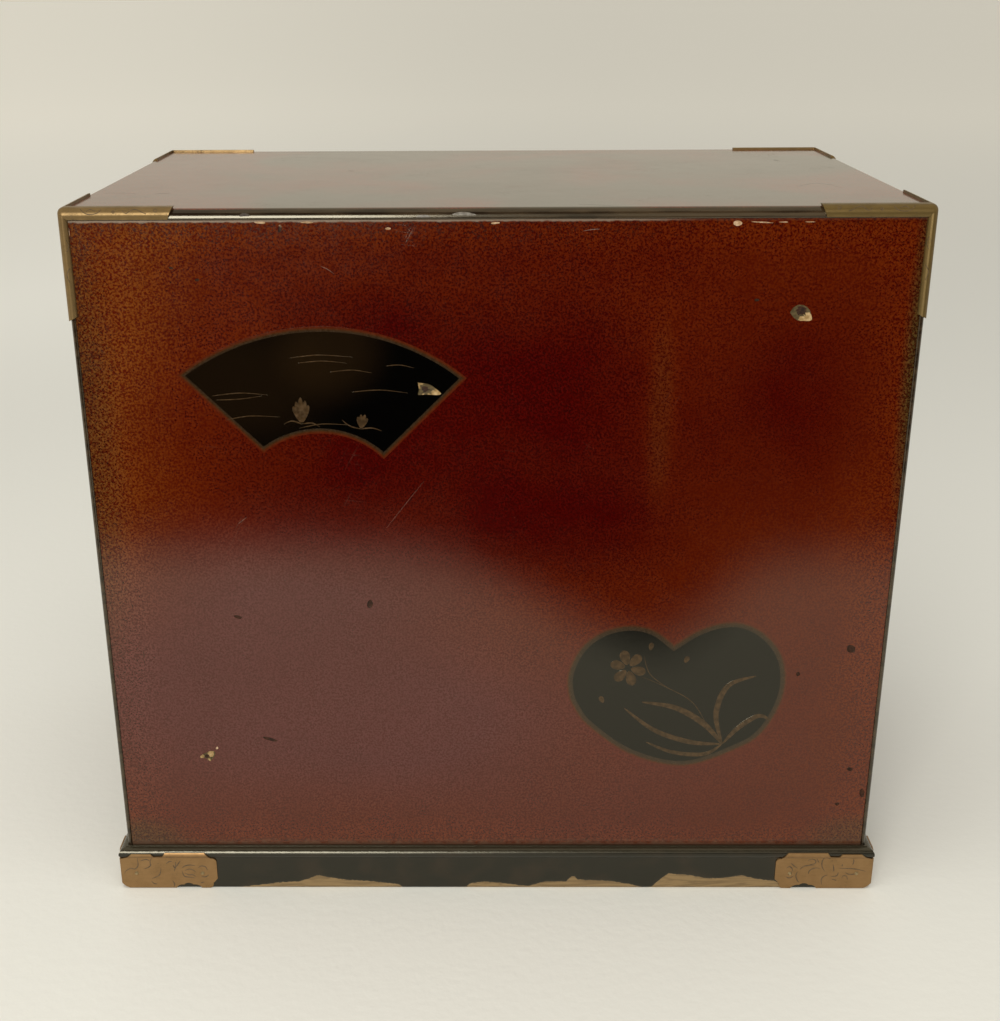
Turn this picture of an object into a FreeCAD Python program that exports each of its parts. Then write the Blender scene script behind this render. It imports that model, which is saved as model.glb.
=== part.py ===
import FreeCAD, Part
import math
import os

os.makedirs("parts", exist_ok=True)

# All lengths are in millimetres. The front faces -Y, the plain lacquered back faces +Y,
# X runs along the width, and Z is zero on the table under the middle of the cabinet.

# Case of four mitred boards round a back panel
case_width = 400.0
case_depth = 245.0
case_show_height = 341.0  # from the plinth's top line to the top surface
board_thickness = 9.0
long_edge_radius = 4.0  # rounding of the outer edges that run from side to side
end_edge_radius = 1.8  # rounding of the edges round each end
inner_edge_radius = 1.2  # rounding of the edges round the doors and round the back panel
rim_thickness = 5.2  # the part of the top and bottom boards that frames the back panel
side_rim_thickness = 2.3  # the same part of the side boards
back_recess = 1.2  # the back panel lies this far behind the rim
back_panel_thickness = 5.0
front_recess = 1.2  # doors and drawer fronts lie this far behind the front edges
shelf_thickness = 7.0
housing_depth = 3.0  # grooves that hold the shelves and partitions
small_drawer_opening = 62.0
long_drawer_opening = 78.0
cupboard_shelf_setback = 30.0  # behind the doors
cupboard_shelf_height = 84.0  # underside above the lower shelf
overrun = 12.0  # cutting shapes run this far past what they cut

# Moulded plinth of four mitred rails
plinth_height = 25.0
plinth_seat_depth = 7.0  # the case sinks this far into the plinth
plinth_ledge = 9.0  # width of the ledge that carries the case
plinth_flat_projection = 3.6  # flat face, outside the case
plinth_nose_projection = 4.4  # nose of the rounded moulding, outside the case
plinth_bead_projection = 0.9
plinth_bead_height = 0.6
plinth_roll_height = 4.9  # rounded moulding above the flat face
plinth_toe_radius = 0.8
foot_round_width = 3.8  # worn corner of each foot, along the diagonal
foot_round_height = 6.8
roll_nose_share = 0.43  # height of the nose, of the rounded moulding
roll_upper_shares = (0.72, 0.69)  # middle of the curve above the nose
roll_lower_shares = (0.8, 0.38)  # middle of the curve below it
corner_block_leg = 22.0
corner_block_height = 15.0

# Brass mounts on the corners of the top
top_mount_thickness = 1.1
top_mount_leg = 53.0
top_mount_side_width = 9.0
top_mount_rim_margin = 0.6  # rim left bare below the long leg, at the back
top_mount_roll_radius = 3.4  # the upper rounding of the long leg
top_mount_lip = 0.3  # thickness of the long leg's lower edge
top_mount_land = 0.8  # past the rounding, onto the flat surface
top_mount_slant = 2.4
top_mount_point = 4.0  # length of the pointed ends on the side faces

# Brass mounts on the corners of the plinth
base_mount_thickness = 0.7
base_mount_leg = 52.0
base_mount_lift = 0.3  # lower edge above the table
base_mount_wrap = 3.3  # the brass is bent this far up over the rounded moulding

# Dome-headed nails
nail_head_radius = 1.1
nail_head_height = 0.7
nail_tip_radius = 0.6
nail_shank_radius = 0.5
nail_length = 4.5
nail_inset = 8.0  # from the end of the leg it holds
frame_leaf_nail_shares = (0.25, 0.75)  # heights of the nails, of the leaf
door_leaf_nail_shares = (0.18, 0.82, 0.5)

# Doors
door_thickness = 12.0
door_gap = 0.5  # round each door, and at each side of the middle line
front_softening = 0.8  # rounding round the faces of doors and drawers
stop_length = 40.0
stop_width = 8.0
stop_gap = 0.3

# Door hinges
hinge_height = 34.0
hinge_inset = 18.0  # from the end of the door
hinge_leaf_thickness = 0.9
hinge_side_leaf = 24.0
hinge_door_leaf = 30.0
hinge_leaf_point = 7.0
knuckle_radius = 2.4
knuckle_count = 3
knuckle_gap = 0.3
knuckle_stand_off = 2.2  # pin's centre in front of the case edges
knuckle_overlap = 0.3  # how near a leaf comes to the pin's centre line
pin_radius = 1.1
pin_running_gap = 0.05
pin_head_radius = 1.9
pin_head_height = 1.4

# Ring pulls
pull_plate_radius = 11.0
pull_plate_lobe = 1.2
pull_plate_lobes = 8
pull_plate_thickness = 1.0
ring_radius = 9.0
ring_wire_radius = 1.1
ring_gap = 0.35
eye_wall = 1.25
eye_thickness = 2.0
eye_clearance = 0.3  # between the eye and its plate
eye_neck_share = 0.75  # of the eye's radius
door_pull_inset = 26.0
long_pull_spread = 190.0

# Lock on the right door and keeper on the left door
lock_inset = 2.5  # from the middle line
lock_width = 24.0
lock_height = 22.0
lock_depth = 6.0
lock_drop = 34.0  # below the middle of the door
bolt_length = 15.0
bolt_height = 6.0
bolt_thickness = 2.6
bolt_recess = 0.3  # tip behind the mouth of the case
bolt_gap = 0.35
keeper_width = 6.5
keeper_wall = 2.5
keyhole_radius = 1.9
keyhole_slot_width = 1.8
keyhole_slot_length = 5.5
escutcheon_radius = 8.0
escutcheon_lobe = 0.8
escutcheon_lobes = 6
escutcheon_thickness = 0.9

# Drawers
drawer_gap = 0.5  # round each front
drawer_side_gap = 0.4
drawer_lift = 0.3  # box above the shelf it slides on
drawer_front_thickness = 11.0
drawer_wall = 6.0
drawer_bottom_thickness = 4.0
drawer_headroom = 9.0  # sides lower than the opening

# Outline of one leg of a plinth mount, as shares of its length from the corner and of its height.
# It is listed as face_through takes it: a scalloped arch below, and a worn upper edge.
base_mount_shares = [
    (0.56, 0.00),
    ((0.585, 0.065), (0.64, 0.09)),
    ((0.69, 0.14), (0.74, 0.09)),
    ((0.80, 0.065), (0.83, 0.00)),
    (0.91, 0.00),
    ((0.94, 0.03), (0.95, 0.13)),
    (1.00, 0.26),
    (1.00, 0.73),
    ((0.985, 0.80), (0.94, 0.83)),
    (0.92, 0.89), (0.88, 1.00), (0.47, 1.00), (0.44, 0.90), (0.35, 0.89), (0.32, 0.97), (0.12, 0.97),
    (0.06, 0.86), (0.00, 0.82),
]

half_width = case_width / 2
half_depth = case_depth / 2
case_bottom = plinth_height - plinth_seat_depth
case_top = plinth_height + case_show_height
inner_half_width = half_width - board_thickness
inner_bottom = case_bottom + board_thickness
inner_top = case_top - board_thickness
back_face = half_depth - back_recess
back_inside = back_face - back_panel_thickness
front_face = -half_depth + front_recess
door_back = front_face + door_thickness
lower_shelf_bottom = inner_bottom + long_drawer_opening
lower_shelf_top = lower_shelf_bottom + shelf_thickness
upper_shelf_top = inner_top - small_drawer_opening
upper_shelf_bottom = upper_shelf_top - shelf_thickness
small_drawer_width = (2 * inner_half_width - 2 * shelf_thickness) / 3
door_middle = (lower_shelf_top + upper_shelf_bottom) / 2
pin_y = -half_depth - knuckle_stand_off
half_right_angle = 45.0
full_turn = 360.0
plinth_shoulder = plinth_height - plinth_bead_height
plinth_flat_top = plinth_shoulder - plinth_roll_height
top_mount_rim_cover = rim_thickness - top_mount_rim_margin
mount_roll_middle = top_mount_roll_radius - top_mount_thickness
mount_lower_height = top_mount_rim_cover - mount_roll_middle
mount_lower_depth = top_mount_thickness - top_mount_lip
mount_lower_radius = (mount_lower_height ** 2 + mount_lower_depth ** 2) / (2 * mount_lower_depth)
mount_lower_turn = math.degrees(math.atan2(mount_lower_height, mount_lower_radius - mount_lower_depth))
rim_wrap = math.sqrt((inner_edge_radius + top_mount_thickness) ** 2 - (inner_edge_radius - back_recess) ** 2)
rim_wrap_turn = math.degrees(math.atan2(rim_wrap, inner_edge_radius - back_recess))
side_rim_mount_reach = side_rim_thickness - inner_edge_radius + rim_wrap


def point(x, y, z):
    return FreeCAD.Vector(x, y, z)


def block(x0, x1, y0, y1, z0, z1):
    return Part.makeBox(x1 - x0, y1 - y0, z1 - z0, point(x0, y0, z0))


# A closed face. Each step is a line's end, or a pair of an arc's middle and end.
def face_through(start, steps, place):
    edges = []
    here = place(*start)
    for step in steps + [start]:
        if isinstance(step[0], tuple):
            middle = place(*step[0])
            there = place(*step[1])
            edges.append(Part.Arc(here, middle, there).toShape())
        else:
            there = place(*step)
            if here.distanceToPoint(there) > 0:
                edges.append(Part.LineSegment(here, there).toShape())
        here = there
    return Part.Face(Part.Wire(edges))


def arc_middle(centre, radius, degrees):
    turn = math.radians(degrees)
    return (centre[0] + radius * math.cos(turn), centre[1] + radius * math.sin(turn))


def mirrored(shape):
    return shape.mirror(point(0, 0, 0), point(1, 0, 0))


# The whole outside of the case, grown evenly for the brass that lies on it
def case_envelope(grow, long_radius):
    box = block(-half_width - grow, half_width + grow, -half_depth - grow, half_depth + grow,
                case_bottom - grow, case_top + grow)
    box = box.makeFillet(long_radius, [e for e in box.Edges if e.BoundBox.XLength > half_width])
    ends = [e for e in box.Edges if e.BoundBox.XLength < end_edge_radius]
    return box.makeFillet(end_edge_radius + grow, ends)


# What one board of the ring may fill between its 45 degree mitres, over part of the depth. The
# mitres run out from the inner corners, which lie the given amounts across and down.
def mitre_wedge(side, across, down, y0, y1):
    reach = overrun + across + down
    in_x = half_width - across
    high = case_top - down
    low = case_bottom + down
    corners = {
        "top": [(-in_x - reach, high + reach), (in_x + reach, high + reach), (in_x, high), (-in_x, high)],
        "bottom": [(-in_x - reach, low - reach), (in_x + reach, low - reach), (in_x, low), (-in_x, low)],
        "right": [(in_x + reach, low - reach), (in_x + reach, high + reach), (in_x, high), (in_x, low)],
    }[side]
    face = face_through(corners[0], corners[1:], lambda x, z: point(x, y0, z))
    return face.extrude(point(0, y1 - y0, 0))


# A section of depth Y and distance in from the outer surface, run along one side of the case
def ring_member(side, start, steps, wedge):
    out = overrun
    across = point(case_width + 2 * out, 0, 0)
    upwards = point(0, 0, case_top - case_bottom + 2 * out)
    place, run = {
        "top": (lambda y, n: point(-half_width - out, y, case_top - n), across),
        "bottom": (lambda y, n: point(-half_width - out, y, case_bottom + n), across),
        "right": (lambda y, n: point(half_width - n, y, case_bottom - out), upwards),
    }[side]
    return face_through(start, steps, place).extrude(run).common(wedge)


# Board section: rounded inside at the front, and stepped at the back for the panel
def case_board(side):
    r = inner_edge_radius
    t = board_thickness
    rim = side_rim_thickness if side == "right" else rim_thickness
    front_centre = (-half_depth + r, t - r)
    back_centre = (half_depth - r, rim - r)
    steps = [
        (-half_depth, t - r),
        (arc_middle(front_centre, r, 3 * half_right_angle), (-half_depth + r, t)),
        (back_inside, t),
        (back_inside, rim),
        (half_depth - r, rim),
        (arc_middle(back_centre, r, half_right_angle), (half_depth, rim - r)),
        (half_depth, 0),
    ]
    body = mitre_wedge(side, t, t, -half_depth - overrun, back_inside)
    lip = mitre_wedge(side, side_rim_thickness, rim_thickness, back_inside, half_depth + overrun)
    members = [ring_member(side, (-half_depth, 0), steps, wedge) for wedge in (body, lip)]
    return members[0].fuse(members[1]).common(case_envelope(0, long_edge_radius)).removeSplitter()


def back_panel():
    half = half_width - side_rim_thickness
    return block(-half, half, back_inside, back_face, case_bottom + rim_thickness, case_top - rim_thickness)


def shelf(low):
    half = inner_half_width + housing_depth
    return block(-half, half, front_face, back_inside, low, low + shelf_thickness)


def partition(side):
    middle = side * (small_drawer_width + shelf_thickness) / 2
    half = shelf_thickness / 2
    return block(middle - half, middle + half, front_face, back_inside,
                 upper_shelf_top - housing_depth, inner_top + housing_depth)


def cupboard_shelf():
    half = inner_half_width + housing_depth
    low = lower_shelf_top + cupboard_shelf_height
    return block(-half, half, door_back + cupboard_shelf_setback, back_inside, low, low + shelf_thickness)


def door_stops():
    y0 = door_back + stop_gap
    half = stop_length / 2
    low = block(-half, half, y0, y0 + stop_width, lower_shelf_top, lower_shelf_top + stop_width)
    high = block(-half, half, y0, y0 + stop_width, upper_shelf_bottom - stop_width, upper_shelf_bottom)
    return Part.makeCompound([low, high])


# Outside of the plinth: distance out from the case face, grown by what lies on it, and height
def plinth_outline(grow):
    nose = plinth_nose_projection + grow
    flat = plinth_flat_projection + grow
    bead = plinth_bead_projection + grow
    nose_height = plinth_flat_top + plinth_roll_height * roll_nose_share
    out, up = roll_upper_shares
    upper = (bead + (nose - bead) * out, nose_height + (plinth_shoulder - nose_height) * up)
    out, up = roll_lower_shares
    lower = (flat + (nose - flat) * out, plinth_flat_top + (nose_height - plinth_flat_top) * up)
    toe = plinth_toe_radius
    return [
        (bead, plinth_height),
        (bead, plinth_shoulder),
        (upper, (nose, nose_height)),
        (lower, (flat, plinth_flat_top)),
        (flat, toe),
        (arc_middle((flat - toe, toe), toe, -half_right_angle), (flat - toe, 0)),
    ]


def plinth_section(place):
    inside = [(-plinth_ledge, 0), (-plinth_ledge, case_bottom), (0, case_bottom)]
    return face_through((0, plinth_height), plinth_outline(0) + inside, place)


# What lies outside the worn lower corner of a foot, whose sharp corner would stand at x and y
def foot_wear(x, y):
    out = overrun
    diagonal = point(math.copysign(1, x), math.copysign(1, y), 0).normalize()
    across = point(-diagonal.y, diagonal.x, 0) * out
    wide = foot_round_width
    tall = foot_round_height
    cosine = math.cos(math.radians(half_right_angle))
    middle = (-wide * (1 - cosine), tall * (1 - cosine))
    steps = [(middle, (0, tall)), (out, tall), (out, -out), (-wide, -out)]
    corner = point(x, y, 0) - across
    face = face_through((-wide, 0), steps, lambda d, z: corner + diagonal * d + point(0, 0, z))
    return face.extrude(across * 2)


def plinth_rail(side):
    out = overrun
    ledge = plinth_ledge
    flat = plinth_flat_projection
    inner_x = half_width - ledge
    inner_y = half_depth - ledge
    outer_x = half_width + out
    outer_y = half_depth + out
    along_x = side in ("front", "back")
    sign = 1 if side in ("back", "right") else -1
    if along_x:
        rail = plinth_section(lambda o, z: point(-outer_x, sign * (half_depth + o), z))
        rail = rail.extrude(point(2 * outer_x, 0, 0))
        corners = [(-outer_x, sign * outer_y), (outer_x, sign * outer_y),
                   (inner_x, sign * inner_y), (-inner_x, sign * inner_y)]
    else:
        rail = plinth_section(lambda o, z: point(sign * (half_width + o), -outer_y, z))
        rail = rail.extrude(point(0, 2 * outer_y, 0))
        corners = [(sign * outer_x, -outer_y), (sign * outer_x, outer_y),
                   (sign * inner_x, inner_y), (sign * inner_x, -inner_y)]
    wedge = face_through(corners[0], corners[1:], lambda x, y: point(x, y, -out))
    rail = rail.common(wedge.extrude(point(0, 0, plinth_height + 2 * out)))
    feet = [foot_wear(sx * (half_width + flat), sy * (half_depth + flat)) for sx in (-1, 1) for sy in (-1, 1)]
    return rail.cut(feet)


def plinth_corner_blocks():
    blocks = []
    for sx in (-1, 1):
        for sy in (-1, 1):
            x = sx * (half_width - plinth_ledge)
            y = sy * (half_depth - plinth_ledge)
            top = case_bottom
            base = top - corner_block_height
            corners = [(x, y), (x - sx * corner_block_leg, y), (x, y - sy * corner_block_leg)]
            face = face_through(corners[0], corners[1:], lambda u, v: point(u, v, base))
            blocks.append(face.extrude(point(0, 0, corner_block_height)))
    return Part.makeCompound(blocks)


# A nail whose head sits on a surface at the given point, driven the opposite way to its normal
def nail(place, normal):
    shank = Part.makeCylinder(nail_shank_radius, nail_length, place, normal * -1)
    head = Part.makeCone(nail_head_radius, nail_tip_radius, nail_head_height, place, normal)
    return shank.fuse(head)


# Regions on the outside of the case that a top mount covers, for the right-hand side
def top_mount_regions(back):
    g = top_mount_thickness
    sign = 1 if back else -1
    far = half_width + g
    top = case_top + g
    depth = half_depth + g
    leg = top_mount_leg
    wide = top_mount_side_width
    strip = top_mount_rim_cover if back else board_thickness - inner_edge_radius
    side_strip = side_rim_mount_reach if back else board_thickness - inner_edge_radius
    land = half_depth - long_edge_radius - top_mount_land
    point_in = top_mount_point
    top_leg = [(far, top), (far - leg, top), (far - leg + top_mount_slant, case_top - strip),
               (far, case_top - strip)]
    side_leg = [(far, top), (far, top - leg), (half_width - side_strip, top - leg + top_mount_slant),
                (half_width - side_strip, top)]
    edge_leg = [(depth, top), (depth - leg + point_in, top), (depth - leg, case_top - wide / 2),
                (depth - leg + point_in, case_top - wide), (depth, case_top - wide)]
    down_leg = [(depth, top), (half_depth - wide, top), (half_depth - wide, top - leg + point_in),
                (half_depth - wide / 2, top - leg), (depth, top - leg + point_in)]
    regions = []
    for corners in (top_leg, side_leg):
        face = face_through(corners[0], corners[1:], lambda x, z: point(x, sign * land, z))
        regions.append(face.extrude(point(0, sign * (depth - land), 0)))
    for corners in (edge_leg, down_leg):
        start = half_width - end_edge_radius
        face = face_through(corners[0], corners[1:], lambda y, z: point(start, sign * y, z))
        regions.append(face.extrude(point(far - start, 0, 0)))
    return regions[0].fuse(regions[1:])


# Brass that lies on the rim. At the back its long leg is rounded like the rim itself, down to a thin
# lower edge, and its down leg is rounded over the rim's inner edge as far as the panel.
def top_mount_sheet(back):
    g = top_mount_thickness
    if not back:
        return case_envelope(g, long_edge_radius + g)
    r = inner_edge_radius
    cover = top_mount_rim_cover
    reach = side_rim_mount_reach
    start = (-half_depth - overrun, -overrun)
    lower_centre = (half_depth + g - mount_lower_radius, mount_roll_middle)
    wrap_centre = (half_depth - r, reach - rim_wrap)
    steps = {
        "top": [
            (half_depth + g, -overrun),
            (half_depth + g, mount_roll_middle),
            (arc_middle(lower_centre, mount_lower_radius, mount_lower_turn / 2), (half_depth + top_mount_lip, cover)),
            (-half_depth - overrun, cover),
        ],
        "right": [
            (half_depth + g, -overrun),
            (half_depth + g, reach - rim_wrap),
            (arc_middle(wrap_centre, r + g, rim_wrap_turn / 2), (back_face, reach)),
            (-half_depth - overrun, reach),
        ],
    }
    members = []
    for side in steps:
        wedge = mitre_wedge(side, reach, cover, start[0], half_depth + overrun)
        members.append(ring_member(side, start, steps[side], wedge))
    return members[0].fuse(members[1]).common(case_envelope(g, top_mount_roll_radius))


def top_mount(back, covered):
    sheet = top_mount_sheet(back).common(top_mount_regions(back))
    return sheet.cut(covered).removeSplitter()


def top_mount_nails(back):
    g = top_mount_thickness
    sign = 1 if back else -1
    x = half_width + g
    reach = top_mount_leg - nail_inset
    middle = top_mount_side_width / 2
    along = point(x, sign * (half_depth + g - reach), case_top - middle)
    down = point(x, sign * (half_depth - middle), case_top + g - reach)
    return [nail(place, point(1, 0, 0)) for place in (along, down)]


# The moulded corner of the plinth as one solid, grown outwards by the brass that lies on it
def moulded_corner(grow):
    inside = base_mount_leg + overrun
    start = (-inside, plinth_height)
    steps = plinth_outline(grow) + [(-inside, 0)]
    along_x = face_through(start, steps, lambda o, z: point(half_width - inside, half_depth + o, z))
    along_y = face_through(start, steps, lambda o, z: point(half_width + o, half_depth - inside, z))
    reach = inside + overrun
    return along_x.extrude(point(reach, 0, 0)).common(along_y.extrude(point(0, reach, 0)))


# Flat brass round the right-hand corner of the plinth, with a softened arris
def base_mount_flat(x, y, low):
    t = base_mount_thickness
    outside = block(0, x + t, 0, y + t, low, plinth_flat_top)
    arris = [e for e in outside.Edges if e.CenterOfMass.x > x and e.CenterOfMass.y > y
             and low < e.CenterOfMass.z < plinth_flat_top]
    outside = outside.makeFillet(t, arris).cut(foot_wear(x + t, y + t))
    inside = block(-x, x, -y, y, low, plinth_flat_top).cut(foot_wear(x, y))
    return outside.cut(inside)


# Mount on the right-hand corner, wrapped from the long face onto the side face and up the moulding
def base_mount(back):
    x = half_width + plinth_flat_projection
    y = half_depth + plinth_flat_projection
    low = base_mount_lift
    top = plinth_flat_top + base_mount_wrap
    wrap = moulded_corner(base_mount_thickness).cut(moulded_corner(0))
    wrap = wrap.common(block(0, x + overrun, 0, y + overrun, plinth_flat_top, top))
    sheet = base_mount_flat(x, y, low).fuse(wrap)

    def scaled(step):
        if isinstance(step[0], tuple):
            return tuple(scaled(one) for one in step)
        return (step[0] * base_mount_leg, low + step[1] * (top - low))

    start = (-overrun, low)
    outline = [scaled(step) for step in base_mount_shares]
    end = (-overrun, outline[-1][1])
    long_face = face_through(start, outline + [end], lambda s, z: point(x - s, y - overrun, z))
    side_face = face_through(start, outline + [end], lambda s, z: point(x - overrun, y - s, z))
    legs = long_face.extrude(point(0, 2 * overrun, 0)).fuse(side_face.extrude(point(2 * overrun, 0, 0)))
    mount = sheet.common(legs).removeSplitter()
    return mount if back else mount.mirror(point(0, 0, 0), point(0, 1, 0))


def base_mount_nails(back):
    t = base_mount_thickness
    sign = 1 if back else -1
    x = half_width + plinth_flat_projection
    y = half_depth + plinth_flat_projection
    z = plinth_flat_top / 2
    nails = []
    for reach in (nail_inset, base_mount_leg - nail_inset):
        nails.append(nail(point(x - reach, sign * (y + t), z), point(0, sign, 0)))
        nails.append(nail(point(x + t, sign * (y - reach), z), point(1, 0, 0)))
    return nails


def hinge_bottoms():
    low = lower_shelf_top + door_gap + hinge_inset
    high = upper_shelf_bottom - door_gap - hinge_inset - hinge_height
    return (low, high)


def knuckle_spans(bottom):
    length = (hinge_height - (knuckle_count - 1) * knuckle_gap) / knuckle_count
    step = length + knuckle_gap
    return [(bottom + i * step, bottom + i * step + length) for i in range(knuckle_count)]


def knuckle(span, bore):
    place = point(inner_half_width, pin_y, span[0])
    length = span[1] - span[0]
    upwards = point(0, 0, 1)
    return Part.makeCylinder(knuckle_radius, length, place, upwards), Part.makeCylinder(bore, length, place,
                                                                                        upwards)


# Leaf that wraps from the side face round the front edge to the pin, for the right-hand side
def frame_leaf(bottom, shell):
    top = bottom + hinge_height
    t = hinge_leaf_thickness
    x = inner_half_width
    clear = knuckle_radius + knuckle_gap
    spans = knuckle_spans(bottom)
    region = block(x + knuckle_overlap, half_width + t, -half_depth - t, -half_depth + hinge_side_leaf,
                   bottom, top)
    notch = block(x, x + clear, -half_depth - overrun, -half_depth + overrun,
                  spans[1][0] - knuckle_gap, spans[1][1] + knuckle_gap)
    leaf = shell.common(region).cut(notch)
    for span in (spans[0], spans[2]):
        barrel, bore = knuckle(span, pin_radius)
        leaf = leaf.fuse(barrel).cut(bore)
    return leaf.removeSplitter()


def frame_leaf_nails(bottom):
    t = hinge_leaf_thickness
    x = half_width + t
    y = -half_depth + hinge_side_leaf - nail_inset
    return [nail(point(x, y, bottom + share * hinge_height), point(1, 0, 0)) for share in frame_leaf_nail_shares]


# Leaf on the face of the right door, with a pointed end and a web to its knuckle
def door_leaf(bottom):
    top = bottom + hinge_height
    t = hinge_leaf_thickness
    x = inner_half_width
    clear = knuckle_radius + knuckle_gap
    span = knuckle_spans(bottom)[1]
    end = x - hinge_door_leaf
    corners = [(x - clear, bottom), (x - clear, top), (end + hinge_leaf_point, top),
               (end, (bottom + top) / 2), (end + hinge_leaf_point, bottom)]
    plate = face_through(corners[0], corners[1:], lambda u, z: point(u, front_face - t, z))
    leaf = plate.extrude(point(0, t, 0))
    neck = block(x - clear, x - knuckle_overlap, front_face - t, front_face, span[0], span[1])
    web = block(x - knuckle_radius, x - knuckle_overlap, pin_y, front_face, span[0], span[1])
    barrel, bore = knuckle(span, pin_radius + pin_running_gap)
    return leaf.fuse([neck, web, barrel]).cut(bore).removeSplitter()


def door_leaf_nails(bottom):
    y = front_face - hinge_leaf_thickness
    x = inner_half_width
    near = x - knuckle_radius - knuckle_gap - nail_inset / 2
    far = x - hinge_door_leaf + hinge_leaf_point
    places = zip((near, near, far), door_leaf_nail_shares)
    return [nail(point(u, y, bottom + share * hinge_height), point(0, -1, 0)) for u, share in places]


def hinge_pin(bottom):
    base = point(inner_half_width, pin_y, bottom)
    up = point(0, 0, 1)
    pin = Part.makeCylinder(pin_radius, hinge_height, base, up)
    low_head = Part.makeCone(pin_head_radius, pin_radius, pin_head_height, base, up * -1)
    high_head = Part.makeCone(pin_head_radius, pin_radius, pin_head_height,
                              base + up * hinge_height, up)
    return pin.fuse([low_head, high_head]).removeSplitter()


# A slab whose front face has softened edges
def soft_slab(x0, x1, y0, y1, z0, z1):
    slab = block(x0, x1, y0, y1, z0, z1)
    front = [e for e in slab.Edges if abs(e.CenterOfMass.y - y0) < front_softening / 2]
    return slab.makeFillet(front_softening, front)


def right_door_slab():
    return soft_slab(door_gap, inner_half_width - door_gap, front_face, door_back,
                     lower_shelf_top + door_gap, upper_shelf_bottom - door_gap)


# A flat disc with a scalloped edge, lying against a front
def lobed_disc(x, z, radius, lobe, lobes, thickness):
    steps = []
    turn = full_turn / lobes
    start = arc_middle((x, z), radius - lobe, 0)
    for i in range(lobes):
        middle = arc_middle((x, z), radius, i * turn + turn / 2)
        end = arc_middle((x, z), radius - lobe, (i + 1) * turn) if i < lobes - 1 else start
        steps.append((middle, end))
    face = face_through(start, steps, lambda u, v: point(u, front_face - thickness, v))
    return face.extrude(point(0, thickness, 0))


def eye_radius():
    return ring_wire_radius + ring_gap + eye_wall


def eye_y():
    return front_face - pull_plate_thickness - eye_clearance - eye_radius()


# Scalloped plate with an eye whose hole runs along X
def pull_plate(x, z):
    half = eye_thickness / 2
    centre = point(x - half, eye_y(), z)
    eye = Part.makeCylinder(eye_radius(), eye_thickness, centre, point(1, 0, 0))
    hole = Part.makeCylinder(ring_wire_radius + ring_gap, eye_thickness, centre, point(1, 0, 0))
    neck_half = eye_radius() * eye_neck_share
    neck = block(x - half, x + half, eye_y(), front_face - pull_plate_thickness, z - neck_half, z + neck_half)
    disc = lobed_disc(x, z, pull_plate_radius, pull_plate_lobe, pull_plate_lobes, pull_plate_thickness)
    return disc.fuse([eye, neck]).cut(hole).removeSplitter()


def pull_ring(x, z):
    return Part.makeTorus(ring_radius, ring_wire_radius, point(x, eye_y(), z - ring_radius), point(0, 1, 0))


def lock_middle():
    return door_middle - lock_drop


def bolt_box(grow, travel):
    x0 = lock_inset + bolt_recess
    y = door_back + lock_depth / 2
    half = bolt_thickness / 2 + grow
    tall = bolt_height / 2 + grow
    return block(x0 - travel, x0 + bolt_length + grow, y - half, y + half,
                 lock_middle() - tall, lock_middle() + tall)


def lock_case():
    half = lock_height / 2
    box = block(lock_inset, lock_inset + lock_width, door_back, door_back + lock_depth,
                lock_middle() - half, lock_middle() + half)
    return box.cut(bolt_box(bolt_gap, overrun)).cut(keyhole())


def keeper():
    tall = bolt_height / 2 + bolt_gap + keeper_wall
    box = block(-lock_inset - keeper_width, -lock_inset, door_back, door_back + lock_depth,
                lock_middle() - tall, lock_middle() + tall)
    return box.cut(bolt_box(bolt_gap, overrun + keeper_width + lock_inset))


# Round hole with a slot below, from the door's face to the inside of the lock
def keyhole():
    x = lock_inset + lock_width / 2
    y = front_face - overrun
    deep = overrun + door_thickness + lock_depth / 2
    z = lock_middle()
    hole = Part.makeCylinder(keyhole_radius, deep, point(x, y, z), point(0, 1, 0))
    half = keyhole_slot_width / 2
    slot = block(x - half, x + half, y, y + deep, z - keyhole_slot_length, z)
    return hole.fuse(slot)


def escutcheon():
    x = lock_inset + lock_width / 2
    disc = lobed_disc(x, lock_middle(), escutcheon_radius, escutcheon_lobe, escutcheon_lobes,
                      escutcheon_thickness)
    return disc.cut(keyhole())


def drawer_front(x0, x1, z0, z1):
    return soft_slab(x0 + drawer_gap, x1 - drawer_gap, front_face, front_face + drawer_front_thickness,
                     z0 + drawer_gap, z1 - drawer_gap)


def drawer_box(x0, x1, z0, z1):
    left = x0 + drawer_side_gap
    right = x1 - drawer_side_gap
    y0 = front_face + drawer_front_thickness
    y1 = back_inside - drawer_gap
    low = z0 + drawer_lift
    high = z1 - drawer_headroom
    wall = drawer_wall
    solids = [
        block(left, left + wall, y0, y1, low, high),
        block(right - wall, right, y0, y1, low, high),
        block(left + wall, right - wall, y1 - wall, y1, low, high),
        block(left + wall, right - wall, y0, y1 - wall, low, low + drawer_bottom_thickness),
    ]
    return Part.makeCompound(solids)


def small_drawer_opening_at(column):
    left = -inner_half_width + column * (small_drawer_width + shelf_thickness)
    return (left, left + small_drawer_width, upper_shelf_top, inner_top)


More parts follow.
